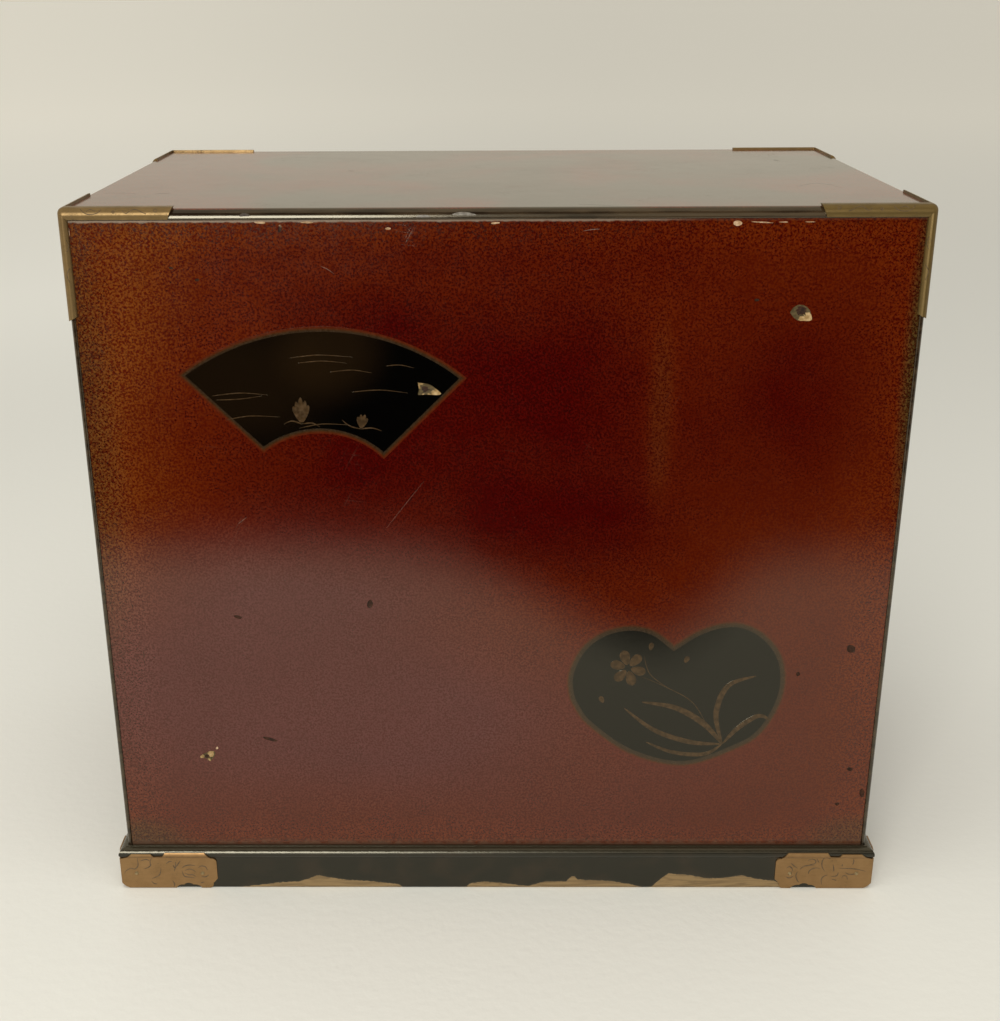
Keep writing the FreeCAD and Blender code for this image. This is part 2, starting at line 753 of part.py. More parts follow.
def build():
    nodes = {}
    boards = {side: case_board(side) for side in ("top", "bottom", "right")}
    panel = back_panel()
    lower = shelf(lower_shelf_bottom)
    upper = shelf(upper_shelf_bottom)
    partitions = [partition(-1), partition(1)]
    inner_shelf = cupboard_shelf()
    upper = upper.cut(partitions)
    boards["top"] = boards["top"].cut(partitions)

    top_nails = {back: top_mount_nails(back) for back in (True, False)}
    base_nails = {back: base_mount_nails(back) for back in (True, False)}
    covered = [boards["top"], boards["right"], panel]
    for back, word in ((True, "back"), (False, "front")):
        mount = top_mount(back, covered).cut(top_nails[back])
        nodes["top_mount_" + word + "_right"] = mount
        nodes["top_mount_" + word + "_left"] = mirrored(mount)
        foot = base_mount(back).cut(base_nails[back])
        nodes["base_mount_" + word + "_right"] = foot
        nodes["base_mount_" + word + "_left"] = mirrored(foot)

    t = hinge_leaf_thickness
    shell = case_envelope(t, long_edge_radius + t).cut(case_envelope(0, long_edge_radius))
    leaves = [frame_leaf(bottom, shell) for bottom in hinge_bottoms()]
    leaf_nails = sum([frame_leaf_nails(bottom) for bottom in hinge_bottoms()], [])
    leaves = [leaf.cut(leaf_nails) for leaf in leaves]
    nodes["hinge_frame_leaves"] = Part.makeCompound(leaves + [mirrored(leaf) for leaf in leaves])
    pins = [hinge_pin(bottom) for bottom in hinge_bottoms()]
    nodes["hinge_pins"] = Part.makeCompound(pins + [mirrored(pin) for pin in pins])

    right_nails = top_nails[True] + top_nails[False] + base_nails[True] + base_nails[False] + leaf_nails
    nails = right_nails + [mirrored(one) for one in right_nails]
    nodes["case_nails"] = Part.makeCompound(nails)

    held = [lower, upper, inner_shelf]
    nodes["top_board"] = boards["top"]
    nodes["bottom_board"] = boards["bottom"]
    nodes["right_side"] = boards["right"].cut(held + right_nails)
    nodes["left_side"] = mirrored(nodes["right_side"])
    nodes["back_panel"] = panel.cut(nails)
    nodes["lower_shelf"] = lower
    nodes["upper_shelf"] = upper
    nodes["cupboard_shelf"] = inner_shelf
    nodes["left_partition"] = partitions[0]
    nodes["right_partition"] = partitions[1]
    nodes["door_stops"] = door_stops()
    for side in ("front", "back", "left", "right"):
        nodes["plinth_" + side] = plinth_rail(side).cut(nails)
    nodes["plinth_corner_blocks"] = plinth_corner_blocks()

    door_nails = sum([door_leaf_nails(bottom) for bottom in hinge_bottoms()], [])
    door_leaves = [door_leaf(bottom).cut(door_nails) for bottom in hinge_bottoms()]
    slab = right_door_slab().cut(door_nails)
    pull_x = door_pull_inset
    nodes["right_door"] = slab.cut(keyhole())
    nodes["left_door"] = mirrored(slab)
    nodes["right_door_hinge_leaves"] = Part.makeCompound(door_leaves)
    nodes["left_door_hinge_leaves"] = Part.makeCompound([mirrored(leaf) for leaf in door_leaves])
    nodes["right_door_nails"] = Part.makeCompound(door_nails)
    nodes["left_door_nails"] = Part.makeCompound([mirrored(one) for one in door_nails])
    for side, sign in (("left", -1), ("right", 1)):
        nodes[side + "_door_pull_plate"] = pull_plate(sign * pull_x, door_middle)
        nodes[side + "_door_ring"] = pull_ring(sign * pull_x, door_middle)
    nodes["lock_case"] = lock_case()
    nodes["lock_bolt"] = bolt_box(0, 0)
    nodes["lock_keeper"] = keeper()
    nodes["lock_escutcheon"] = escutcheon()

    for column, word in enumerate(("left", "centre", "right")):
        opening = small_drawer_opening_at(column)
        x = (opening[0] + opening[1]) / 2
        z = (opening[2] + opening[3]) / 2 + ring_radius / 2
        nodes[word + "_drawer_front"] = drawer_front(*opening)
        nodes[word + "_drawer_box"] = drawer_box(*opening)
        nodes[word + "_drawer_pull_plate"] = pull_plate(x, z)
        nodes[word + "_drawer_ring"] = pull_ring(x, z)
    opening = (-inner_half_width, inner_half_width, inner_bottom, lower_shelf_bottom)
    z = (inner_bottom + lower_shelf_bottom) / 2 + ring_radius / 2
    half = long_pull_spread / 2
    nodes["long_drawer_front"] = drawer_front(*opening)
    nodes["long_drawer_box"] = drawer_box(*opening)
    nodes["long_drawer_pull_plates"] = Part.makeCompound([pull_plate(-half, z), pull_plate(half, z)])
    nodes["long_drawer_left_ring"] = pull_ring(-half, z)
    nodes["long_drawer_right_ring"] = pull_ring(half, z)
    return nodes


for name, shape in build().items():
    shape.exportStep("parts/" + name + ".step")
    print(name, len(shape.Solids), round(shape.Volume, 1), shape.isValid())
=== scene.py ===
import math
import random

import bmesh
import bpy
from mathutils import Matrix, Vector
from mathutils.bvhtree import BVHTree
from mathutils.geometry import delaunay_2d_cdt


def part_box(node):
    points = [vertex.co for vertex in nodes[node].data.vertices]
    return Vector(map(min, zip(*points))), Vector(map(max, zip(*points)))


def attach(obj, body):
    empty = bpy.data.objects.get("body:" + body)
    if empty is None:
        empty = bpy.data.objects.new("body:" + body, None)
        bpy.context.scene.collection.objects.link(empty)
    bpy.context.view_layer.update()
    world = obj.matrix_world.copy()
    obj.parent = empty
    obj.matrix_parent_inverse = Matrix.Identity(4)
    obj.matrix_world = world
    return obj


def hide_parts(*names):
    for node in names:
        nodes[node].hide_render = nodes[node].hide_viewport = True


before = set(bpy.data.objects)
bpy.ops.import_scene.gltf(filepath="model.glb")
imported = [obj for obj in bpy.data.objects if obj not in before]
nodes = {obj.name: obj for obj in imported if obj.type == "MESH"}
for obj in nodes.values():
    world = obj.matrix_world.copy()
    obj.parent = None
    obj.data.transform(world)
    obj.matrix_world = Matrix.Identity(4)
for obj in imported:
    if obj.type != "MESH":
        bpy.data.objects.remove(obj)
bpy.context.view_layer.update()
mm = 0.001

# Faces of the case that the pieces below are placed on
panelLow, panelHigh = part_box("back_panel")
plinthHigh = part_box("plinth_back")[1]
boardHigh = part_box("top_board")[1]
case = {
    "halfWidth": boardHigh.x, "halfDepth": boardHigh.y, "top": boardHigh.z,
    "bottom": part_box("right_side")[0].z, "board": 9 * mm, "rim": 2.4 * mm,
    "panelFace": panelHigh.y, "frontFace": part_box("right_door")[0].y,
    "nose": 0.8 * mm, "sheet": 0.7 * mm,
}


# The photographer's camera. Pixels count from the top left corner of the photograph.
photo = {
    "width": 1000, "height": 1021, "focal": 1375.56, "centre": (470.0, 510.5), "sensor": 36.0,
    "place": (0.00617, 0.75666, 0.45877), "pitch": 20.7115, "yaw": -0.6032, "roll": -0.3282,
    "nearest": 0.01, "farthest": 100.0,
}
eye = Vector(photo["place"])


def photoMatrix():
    turn = Matrix.Rotation(math.radians(180 - photo["yaw"]), 4, "Z")
    tilt = Matrix.Rotation(math.radians(90 - photo["pitch"]), 4, "X")
    roll = Matrix.Rotation(math.radians(photo["roll"]), 4, "Z")
    return Matrix.Translation(eye) @ turn @ tilt @ roll


def throughPixel(across, down):
    ray = Vector((across - photo["centre"][0], photo["centre"][1] - down, -photo["focal"]))
    return (photoMatrix().to_3x3() @ ray).normalized()


# Where a pixel's ray meets a plane that stands at a depth, as the viewer's right and up
def backPoint(across, down, depth=case["panelFace"]):
    ray = throughPixel(across, down)
    hit = eye + ray * ((depth - eye.y) / ray.y)
    return (-hit.x, hit.z)


def makeCamera():
    data = bpy.data.cameras.new("photoCamera")
    data.sensor_width = photo["sensor"]
    data.lens = photo["focal"] * photo["sensor"] / photo["height"]
    data.shift_x = (photo["width"] / 2 - photo["centre"][0]) / photo["height"]
    data.clip_start = photo["nearest"]
    data.clip_end = photo["farthest"]
    camera = bpy.data.objects.new("photoCamera", data)
    camera.matrix_world = photoMatrix()
    bpy.context.scene.collection.objects.link(camera)
    bpy.context.scene.camera = camera


# A node's output. Sums of outputs are written as plain sums, and each step in them adds a maths node.
class Wire:
    def __init__(self, socket):
        self.socket = socket

    def __add__(self, other):
        return maths("ADD", self, other)

    def __sub__(self, other):
        return maths("SUBTRACT", self, other)

    def __rsub__(self, other):
        return maths("SUBTRACT", other, self)

    def __mul__(self, other):
        return maths("MULTIPLY", self, other)

    def __abs__(self):
        return maths("ABSOLUTE", self)


def plug(value, socket):
    if isinstance(value, Wire):
        socket.id_data.links.new(value.socket, socket)
    else:
        socket.default_value = value


def addNode(tree, kind, inputs, **settings):
    made = tree.nodes.new(kind)
    for name, value in settings.items():
        setattr(made, name, value)
    for name, value in inputs.items():
        plug(value, made.inputs[name])
    return made


# A node in the same tree as the wires that feed it
def nextNode(kind, inputs, **settings):
    tree = next(value.socket.id_data for value in inputs.values() if isinstance(value, Wire))
    return addNode(tree, kind, inputs, **settings)


def wireFrom(kind, inputs, output=0, **settings):
    return Wire(nextNode(kind, inputs, **settings).outputs[output])


def maths(operation, *values):
    return wireFrom("ShaderNodeMath", dict(enumerate(values)), operation=operation)


def vectorMaths(operation, *values, output="Vector"):
    return wireFrom("ShaderNodeVectorMath", dict(enumerate(values)), output, operation=operation)


def larger(first, *others):
    for other in others:
        first = maths("MAXIMUM", first, other)
    return first


def smaller(first, second):
    return maths("MINIMUM", first, second)


# How far a noise is from its middle, times an amount
def swing(value, amount, middle=0.5):
    return (value - middle) * amount


def fade(value, start, end, low=0.0, high=1.0):
    inputs = {"Value": value, "From Min": start, "From Max": end, "To Min": low, "To Max": high}
    return wireFrom("ShaderNodeMapRange", inputs, interpolation_type="SMOOTHSTEP")


def noise(place, scale, detail=2.0, roughness=0.5, warp=0.0):
    inputs = {"Vector": place, "Scale": scale, "Detail": detail, "Roughness": roughness, "Distortion": warp}
    return wireFrom("ShaderNodeTexNoise", inputs)


def mixColours(share, first, second, blend="MIX"):
    inputs = {0: share, 6: first, 7: second}  # factor, then the two colours
    return wireFrom("ShaderNodeMix", inputs, 2, data_type="RGBA", blend_type=blend, clamp_factor=True)


def mixValues(share, first, second):
    return wireFrom("ShaderNodeMix", {"Factor": share, "A": first, "B": second})


def stretched(place, scale):
    return vectorMaths("MULTIPLY", place, scale)


def coordinates(place):
    return [Wire(one) for one in nextNode("ShaderNodeSeparateXYZ", {"Vector": place}).outputs]


# A curve through points that run from left to right
def curveThrough(value, places, straight=False):
    made = nextNode("ShaderNodeFloatCurve", {"Value": value})
    points = made.mapping.curves[0].points
    points[0].location = places[0]
    points[1].location = places[-1]
    for spot in places[1:-1]:
        points.new(*spot)
    if straight:
        for one in points:
            one.handle_type = "VECTOR"
    made.mapping.update()
    return Wire(made.outputs[0])


def rgb(red, green, blue):
    return (red, green, blue, 1.0)


def socketKind(value):
    if isinstance(value, tuple):
        return "NodeSocketColor" if len(value) == 4 else "NodeSocketVector"
    return "NodeSocketFloat"


# A group's inputs have the kind of their first values. Its outputs are values, apart from Color.
def newGroup(name, inputs, outputs):
    tree = bpy.data.node_groups.new(name, "ShaderNodeTree")
    for label, value in inputs.items():
        made = tree.interface.new_socket(name=label, in_out="INPUT", socket_type=socketKind(value))
        made.default_value = value
    for label in outputs:
        kind = "NodeSocketColor" if label == "Color" else "NodeSocketFloat"
        tree.interface.new_socket(name=label, in_out="OUTPUT", socket_type=kind)
    given = tree.nodes.new("NodeGroupInput").outputs
    return {label: Wire(given[label]) for label in inputs}, tree.nodes.new("NodeGroupOutput").inputs


def useGroup(name, **inputs):
    made = nextNode("ShaderNodeGroup", inputs, node_tree=bpy.data.node_groups[name])
    return {one.name: Wire(one) for one in made.outputs}


# In the values below, a noise is its scale, detail, roughness and warp, as many as it needs. A fade is where
# it starts and ends, then what it gives at each.
spotFade = (0.25, 1.0, 1.0, 0.0)


# A soft round spot: 1 at its centre, 0 outside its radii
def softSpotGroup():
    inputs = {"Position": (0.0, 0.0, 0.0), "Centre": (0.0, 0.0, 0.0), "Radii": (0.1, 0.1, 0.1)}
    given, put = newGroup("Soft Spot", inputs, ["Mask"])
    away = vectorMaths("SUBTRACT", given["Position"], given["Centre"])
    away = vectorMaths("DIVIDE", away, given["Radii"])
    plug(fade(vectorMaths("LENGTH", away, output="Value"), *spotFade), put["Mask"])


mottle = {
    "clouds": (22.0, 3.0, 0.55), "cloudSwing": 0.5, "patches": (90.0, 3.0, 0.6), "patchSwing": 1.3,
    "grains": (900.0, 3.0, 0.66), "grainFade": (0.39, 0.61),
    "grainTints": ((0.6, 1.4), (0.2, 1.95), (0.15, 2.1)),
    "tintFade": (-0.1, 0.9, 0.4, 1.0), "crumbs": (1050.0, 3.0, 0.7),
    "fleckEdge": 0.645, "fleckGain": 0.115, "fleckSoft": 0.13, "fleckRough": 0.06, "fleckDip": 0.05,
    "patchRough": 0.07, "patchRoughMiddle": 0.4, "ripple": (60.0, 2.0),
}


# Lacquer with a fine grain, and dark flecks that crowd where Flecks is high. Fleck is a tint of the ground.
def mottledLacquerGroup():
    given, put = newGroup("Mottled Lacquer", {
        "Position": (0.0, 0.0, 0.0), "Ground": rgb(0.1, 0.02, 0.003), "Deep": rgb(0.05, 0.002, 0.001),
        "Fleck": rgb(0.4, 0.2, 0.2), "Deepness": 0.3, "Flecks": 0.5, "Gloss": 0.15},
        ["Color", "Roughness", "Height"])
    place = given["Position"]
    patches = noise(place, *mottle["patches"])
    amount = given["Flecks"] + swing(patches, mottle["patchSwing"])
    edge = mottle["fleckEdge"] - amount * mottle["fleckGain"]
    mask = fade(noise(place, *mottle["crumbs"]), edge, edge + mottle["fleckSoft"])
    depth = given["Deepness"] + swing(noise(place, *mottle["clouds"]), mottle["cloudSwing"])
    body = mixColours(depth, given["Ground"], given["Deep"])
    grains = noise(place, *mottle["grains"])
    tints = [fade(grains, *mottle["grainFade"], low, high) for low, high in mottle["grainTints"]]
    grainTint = wireFrom("ShaderNodeCombineColor", dict(enumerate(tints)))
    tinted = mixColours(1.0, body, grainTint, "MULTIPLY")
    body = mixColours(fade(amount, *mottle["tintFade"]), body, tinted)
    flecked = mixColours(1.0, body, given["Fleck"], "MULTIPLY")
    plug(mixColours(mask, body, flecked), put["Color"])
    rough = given["Gloss"] + swing(patches, mottle["patchRough"], mottle["patchRoughMiddle"])
    plug(rough + mask * mottle["fleckRough"], put["Roughness"])
    plug(noise(place, *mottle["ripple"]) - mask * mottle["fleckDip"], put["Height"])


handling = {
    "scratches": ((1900.0, 0.5), (1500.0, -0.9), (2300.0, 1.7)),  # how close together, and their turn
    "scratchRun": 26.0, "scratch": (1.0, 1.0, 0.4), "scratchFade": (0.68, 0.74), "scratchRough": 0.3,
    "gate": (34.0, 2.0), "gateFade": (0.6, 0.74),
    "smear": (12.0, 4.0, 0.6), "smearStretch": (1.0, 1.0, 1.8), "smearFade": (0.42, 0.7),
    "smearRough": 0.07, "specks": (1100.0, 1.0), "speckFade": (0.79, 0.83),
}


# Fine scratches, smears and specks of dust on a polished surface
def handlingGroup():
    inputs = {"Position": (0.0, 0.0, 0.0), "Amount": 0.3}
    given, put = newGroup("Handling Wear", inputs, ["Dust", "Roughness", "Height"])
    place, amount = given["Position"], given["Amount"]
    lines = []
    for close, turn in handling["scratches"]:
        turned = wireFrom("ShaderNodeVectorRotate", {"Vector": place, "Angle": turn},
                          rotation_type="Y_AXIS")
        long = stretched(turned, (close, close, handling["scratchRun"]))
        lines.append(fade(noise(long, *handling["scratch"]), *handling["scratchFade"]))
    gate = fade(noise(place, *handling["gate"]), *handling["gateFade"])
    scratch = larger(*lines) * gate * amount
    smear = fade(noise(stretched(place, handling["smearStretch"]), *handling["smear"]),
                 *handling["smearFade"])
    specks = fade(noise(place, *handling["specks"]), *handling["speckFade"])
    plug(larger(specks, scratch) * amount, put["Dust"])
    plug(smear * amount * handling["smearRough"] + scratch * handling["scratchRough"], put["Roughness"])
    plug(scratch * -1.0, put["Height"])


woodGrain = {"rings": (9.0, 4.0, 0.6, 0.6), "bands": 9.0, "lateFade": (0.16, 0.5),
             "threads": (126.0, 3.0, 0.7), "lateShare": 0.6, "threadShare": 0.45}


# Planed wood: long grain with darker late wood. Along is small the way the grain runs.
def woodGroup():
    given, put = newGroup("Wood Grain", {
        "Position": (0.0, 0.0, 0.0), "Light": rgb(0.5, 0.36, 0.2), "Dark": rgb(0.3, 0.19, 0.09),
        "Along": (1.0, 12.0, 12.0)}, ["Color", "Height"])
    place = stretched(given["Position"], given["Along"])
    bands = maths("FRACT", noise(place, *woodGrain["rings"]) * woodGrain["bands"])
    late = fade(abs(bands - 0.5), *woodGrain["lateFade"])
    threads = noise(place, *woodGrain["threads"])
    share = late * woodGrain["lateShare"] + threads * woodGrain["threadShare"]
    plug(mixColours(share, given["Light"], given["Dark"]), put["Color"])
    plug(threads - late, put["Height"])


patina = {
    "clouds": (140.0, 4.0, 0.6), "cloudShare": 0.8, "fine": (900.0, 3.0, 0.65),
    "streaks": (1.0, 3.0, 0.6), "streakStretch": (240.0, 240.0, 1500.0), "streakShare": 0.35,
    "ageSwing": 1.5, "ageMiddle": 0.57, "spotClouds": 0.5, "spotFade": (0.86, 1.0),
    "rough": 0.32, "agedRough": 0.16, "dirtRough": 0.3, "dirtDull": 0.6, "streakRelief": 0.4,
}


# Old sheet metal: rubbed bright, browned and grimed in patches
def patinaGroup():
    given, put = newGroup("Metal Patina", {
        "Position": (0.0, 0.0, 0.0), "Bright": rgb(0.5, 0.36, 0.16), "Dull": rgb(0.26, 0.16, 0.06),
        "Grime": rgb(0.04, 0.03, 0.015), "Age": 0.6, "Dirt": 0.3, "Shine": 1.0},
        ["Color", "Roughness", "Metallic", "Height"])
    place = given["Position"]
    clouds = noise(place, *patina["clouds"])
    streaks = noise(stretched(place, patina["streakStretch"]), *patina["streaks"])
    mixed = clouds * patina["cloudShare"] + streaks * patina["streakShare"]
    aged = given["Age"] + swing(mixed, patina["ageSwing"], patina["ageMiddle"])
    dark = noise(place, *patina["fine"]) + clouds * patina["spotClouds"]
    dirt = fade(dark, *patina["spotFade"]) * given["Dirt"]
    plug(mixColours(dirt, mixColours(aged, given["Bright"], given["Dull"]), given["Grime"]), put["Color"])
    plug(aged * patina["agedRough"] + patina["rough"] + dirt * patina["dirtRough"], put["Roughness"])
    plug(given["Shine"] - dirt * patina["dirtDull"], put["Metallic"])
    plug(streaks * patina["streakRelief"] - dirt, put["Height"])


for makeGroup in (softSpotGroup, mottledLacquerGroup, handlingGroup, woodGroup, patinaGroup):
    makeGroup()
print("stage: shader groups made")


materials = {}


# Sets or feeds sockets of a shader. A label is the socket's name, with _ for a space.
def connect(shader, **values):
    for label, value in values.items():
        plug(value, shader.inputs[label.replace("_", " ")])


def newMaterial(name, **constants):
    material = bpy.data.materials.new(name)
    material.use_nodes = True
    shader = material.node_tree.nodes["Principled BSDF"]
    connect(shader, **constants)
    materials[name] = material
    return shader, Wire(material.node_tree.nodes.new("ShaderNodeTexCoord").outputs["Object"])


def bump(shader, height, depth):
    connect(shader, Normal=wireFrom("ShaderNodeBump",
                                    {"Height": height, "Distance": depth, "Strength": 1.0}))


redFinish = {
    "ground": rgb(0.105, 0.0165, 0.0028), "deep": rgb(0.05, 0.0015, 0.0007), "fleck": rgb(0.42, 0.22, 0.2),
    "deepness": 0.4, "flecks": 0.5, "gloss": 0.1, "varnish": rgb(1.0, 0.95, 0.76), "relief": 0.03 * mm,
    "dust": rgb(0.2, 0.12, 0.08), "dustShare": 0.35, "handled": 0.4,
}
blackFinish = {
    "body": rgb(0.0006, 0.0005, 0.0004), "brown": rgb(0.008, 0.004, 0.002),
    "bloom": rgb(0.0085, 0.0044, 0.0016), "clouds": (55.0, 3.0), "cloudFade": (0.45, 0.7),
    "ripple": (90.0, 3.0, 0.55), "dust": rgb(0.12, 0.1, 0.08), "dustShare": 0.25,
    "fanBlooms": [(240, 385, 120, 90, 0.6), (330, 350, 70, 70, 0.8)],
}
insideFinish = {"body": rgb(0.022, 0.0115, 0.006), "worn": rgb(0.036, 0.021, 0.012), "scale": 30.0}

# Red lacquer of the photographed back. A spot is its centre and reaches in photo pixels, and its strength.
backFinish = {
    "ground": rgb(0.077, 0.0086, 0.0006), "deep": rgb(0.033, 0.0004, 0.0001),
    "fleck": rgb(0.64, 0.45, 0.35), "reflectedAmber": rgb(0.09, 0.0168, 0.002), "olive": rgb(0.046, 0.023, 0.0055),
    "brick": rgb(0.058, 0.0104, 0.0098), "edgeFleck": rgb(0.45, 0.33, 0.25), "deepness": 0.42,
    "flecks": 0.42, "gloss": 0.095, "handled": 0.3,
    # Painted reflection: the deep spots darken the middle, which mirrors little of the room, and the amber
    # spots and the border lift lighten the sides, which mirror the room's walls.
    "deepLowReflectionSpots": [(500, 455, 300, 200, 0.52), (540, 310, 260, 150, 0.2), (300, 470, 150, 120, 0.22),
                  (760, 420, 120, 150, 0.18), (662, 410, 32, 160, -0.26), (450, 235, 500, 60, 0.12),
                  (860, 520, 90, 190, -0.1), (300, 640, 260, 150, 0.1), (345, 318, 110, 60, 0.35),
                  (820, 390, 130, 130, 0.3), (580, 530, 180, 70, 0.22)],
    "brickSpots": [(280, 690, 380, 200, 1.0), (560, 760, 300, 130, 0.45), (330, 560, 260, 90, 0.35)],
    "amberReflectionSpots": [(70, 240, 150, 260, 1.0), (60, 520, 130, 400, 0.9), (250, 225, 260, 60, 0.2)],
    "oliveSpots": [(660, 415, 24, 130, 0.3), (920, 350, 52, 260, 1.35), (905, 560, 30, 260, 0.6),
                   (78, 420, 22, 330, 0.5), (140, 838, 60, 26, 0.8), (850, 835, 60, 26, 0.6)],
    "oliveShare": 0.75, "oliveFlecks": 0.5, "brickCalm": 0.35, "amberReflectionLift": 0.4,
    "borderReach": 30 * mm, "borderEnds": 1.5, "borderNoise": (45.0, 3.0), "borderSwing": 30 * mm,
    "borderReflectionLift": 0.25, "borderFlecks": 0.75,
    "upperFlecks": (0.22, 0.34, 0.0, 0.25), "rightCalm": (-0.13, -0.05, 0.35, 0.0),
    "ragged": (300.0, 3.0), "raggedSwing": 4 * mm, "edgeRough": 0.35,
    "dust": rgb(0.075, 0.042, 0.025), "dustFade": (0.5 * mm, 5.5 * mm, 0.85, 0.0),
    # worn and the keys after it: a pale line along the panel's top edge under the rim, fading out towards the
    # viewer's right
    "worn": rgb(0.16, 0.115, 0.082), "paleEdgeFade": (0.3 * mm, 1.3 * mm, 0.8, 0.0), "paleEdgeRagged": 0.35,
    "paleEdgeAcross": (-0.1, -0.06, 0.1, 1.0),
}


def pixelSpot(across, down, wide, high):
    right, up = backPoint(across, down)
    edge, top = backPoint(across + wide, down - high)
    return (-right, case["panelFace"], up), (edge - right, 1.0, top - up)


def spots(place, places):
    total = 0.0
    for across, down, wide, high, strength in places:
        centre, radii = pixelSpot(across, down, wide, high)
        mask = useGroup("Soft Spot", Position=place, Centre=centre, Radii=radii)["Mask"]
        total = maths("MULTIPLY_ADD", mask, strength, total)
    return total


def handledBy(place, amount):
    return useGroup("Handling Wear", Position=place, Amount=amount)


def dusted(colour, wear, finish):
    return mixColours(wear["Dust"] * finish["dustShare"], colour, finish["dust"])


def backLacquer():
    shader, place = newMaterial("backRedLacquer", IOR=1.54, Specular_Tint=redFinish["varnish"])
    across, _, up = coordinates(place)
    kinds = ("deepLowReflectionSpots", "brickSpots", "amberReflectionSpots", "oliveSpots")
    deep, brick, reflectedAmber, olive = [spots(place, backFinish[kind]) for kind in kinds]
    ends = smaller(up - panelLow.z, panelHigh.z - up) * backFinish["borderEnds"]
    ragged = swing(noise(place, *backFinish["borderNoise"]), backFinish["borderSwing"])
    border = fade(smaller(panelHigh.x - abs(across), ends) + ragged,
                  0.0, backFinish["borderReach"], 1.0, 0.0)
    # Painted reflection: amber and a lighter border on the sides, deeper red in the middle
    ground = mixColours(reflectedAmber, backFinish["ground"], backFinish["reflectedAmber"])
    ground = mixColours(brick, ground, backFinish["brick"])
    ground = mixColours(olive * backFinish["oliveShare"], ground, backFinish["olive"])
    deepness = deep - border * backFinish["borderReflectionLift"] - larger(reflectedAmber, brick) * backFinish["amberReflectionLift"]
    flecks = border * backFinish["borderFlecks"] + backFinish["flecks"] - brick * backFinish["brickCalm"]
    flecks = flecks + fade(up, *backFinish["upperFlecks"]) - fade(across, *backFinish["rightCalm"])
    lacquer = useGroup(
        "Mottled Lacquer", Position=place, Ground=ground, Deep=backFinish["deep"],
        Fleck=mixColours(border, backFinish["fleck"], backFinish["edgeFleck"]),
        Deepness=deepness + backFinish["deepness"], Flecks=flecks + olive * backFinish["oliveFlecks"],
        Gloss=backFinish["gloss"])
    wear = handledBy(place, backFinish["handled"])
    ragged = swing(noise(place, *backFinish["ragged"]), backFinish["raggedSwing"])
    dust = fade(up + ragged - panelLow.z, *backFinish["dustFade"])
    # A pale line along the top edge under the rim, fading out towards the viewer's right
    worn = fade(panelHigh.z - (up + ragged * backFinish["paleEdgeRagged"]), *backFinish["paleEdgeFade"])
    worn = worn * fade(across, *backFinish["paleEdgeAcross"])
    colour = mixColours(dust, dusted(lacquer["Color"], wear, redFinish), backFinish["dust"])
    rough = larger(dust, worn) * backFinish["edgeRough"] + lacquer["Roughness"] + wear["Roughness"]
    connect(shader, Base_Color=mixColours(worn, colour, backFinish["worn"]), Roughness=rough)
    bump(shader, lacquer["Height"] + wear["Height"], redFinish["relief"])


def redColours(place):
    labels = ("Ground", "Deep", "Fleck", "Deepness", "Flecks", "Gloss")
    return useGroup("Mottled Lacquer", Position=place,
                    **{label: redFinish[label.lower()] for label in labels})


def blackColour(place):
    share = fade(noise(place, *blackFinish["clouds"]), *blackFinish["cloudFade"])
    return mixColours(share, blackFinish["body"], blackFinish["brown"])


# Doors and drawer fronts
def redLacquer():
    shader, place = newMaterial("redLacquer", IOR=1.6, Specular_Tint=redFinish["varnish"])
    lacquer = redColours(place)
    wear = handledBy(place, redFinish["handled"])
    rough = lacquer["Roughness"] + wear["Roughness"]
    connect(shader, Base_Color=dusted(lacquer["Color"], wear, redFinish), Roughness=rough)
    bump(shader, lacquer["Height"] + wear["Height"], redFinish["relief"])


caseFinish = {
    "handled": 0.55, "wobble": (160.0, 2.0), "wobbleSwing": 0.9 * mm, "rimSoft": 0.3 * mm,
    "insideFade": (0.5 * mm, 0.7 * mm, 1.0, 0.0), "insideClouds": (30.0, 4.0, 0.6),
    "insideCloudFade": (0.35, 0.68),
    # bloom: olive-grey clouds on the top face, partly a hazy bloom of the lacquer and partly painted
    # reflection of the room
    "bloom": rgb(0.03, 0.034, 0.02), "bloomAndSheenClouds": (9.0, 3.0, 0.5, 0.4),
    "bloomAndSheenFade": (0.42, 0.62, 0.0, 0.85),
    "bloomFrom": 1.0 * mm, "bloomTo": 0.3 * mm, "blackRough": 0.13,
    "rim": rgb(0.034, 0.021, 0.0105), "streaks": (1.0, 4.0, 0.6), "streakStretch": (30.0, 240.0, 240.0),
    "streakFade": (0.35, 0.7),
}


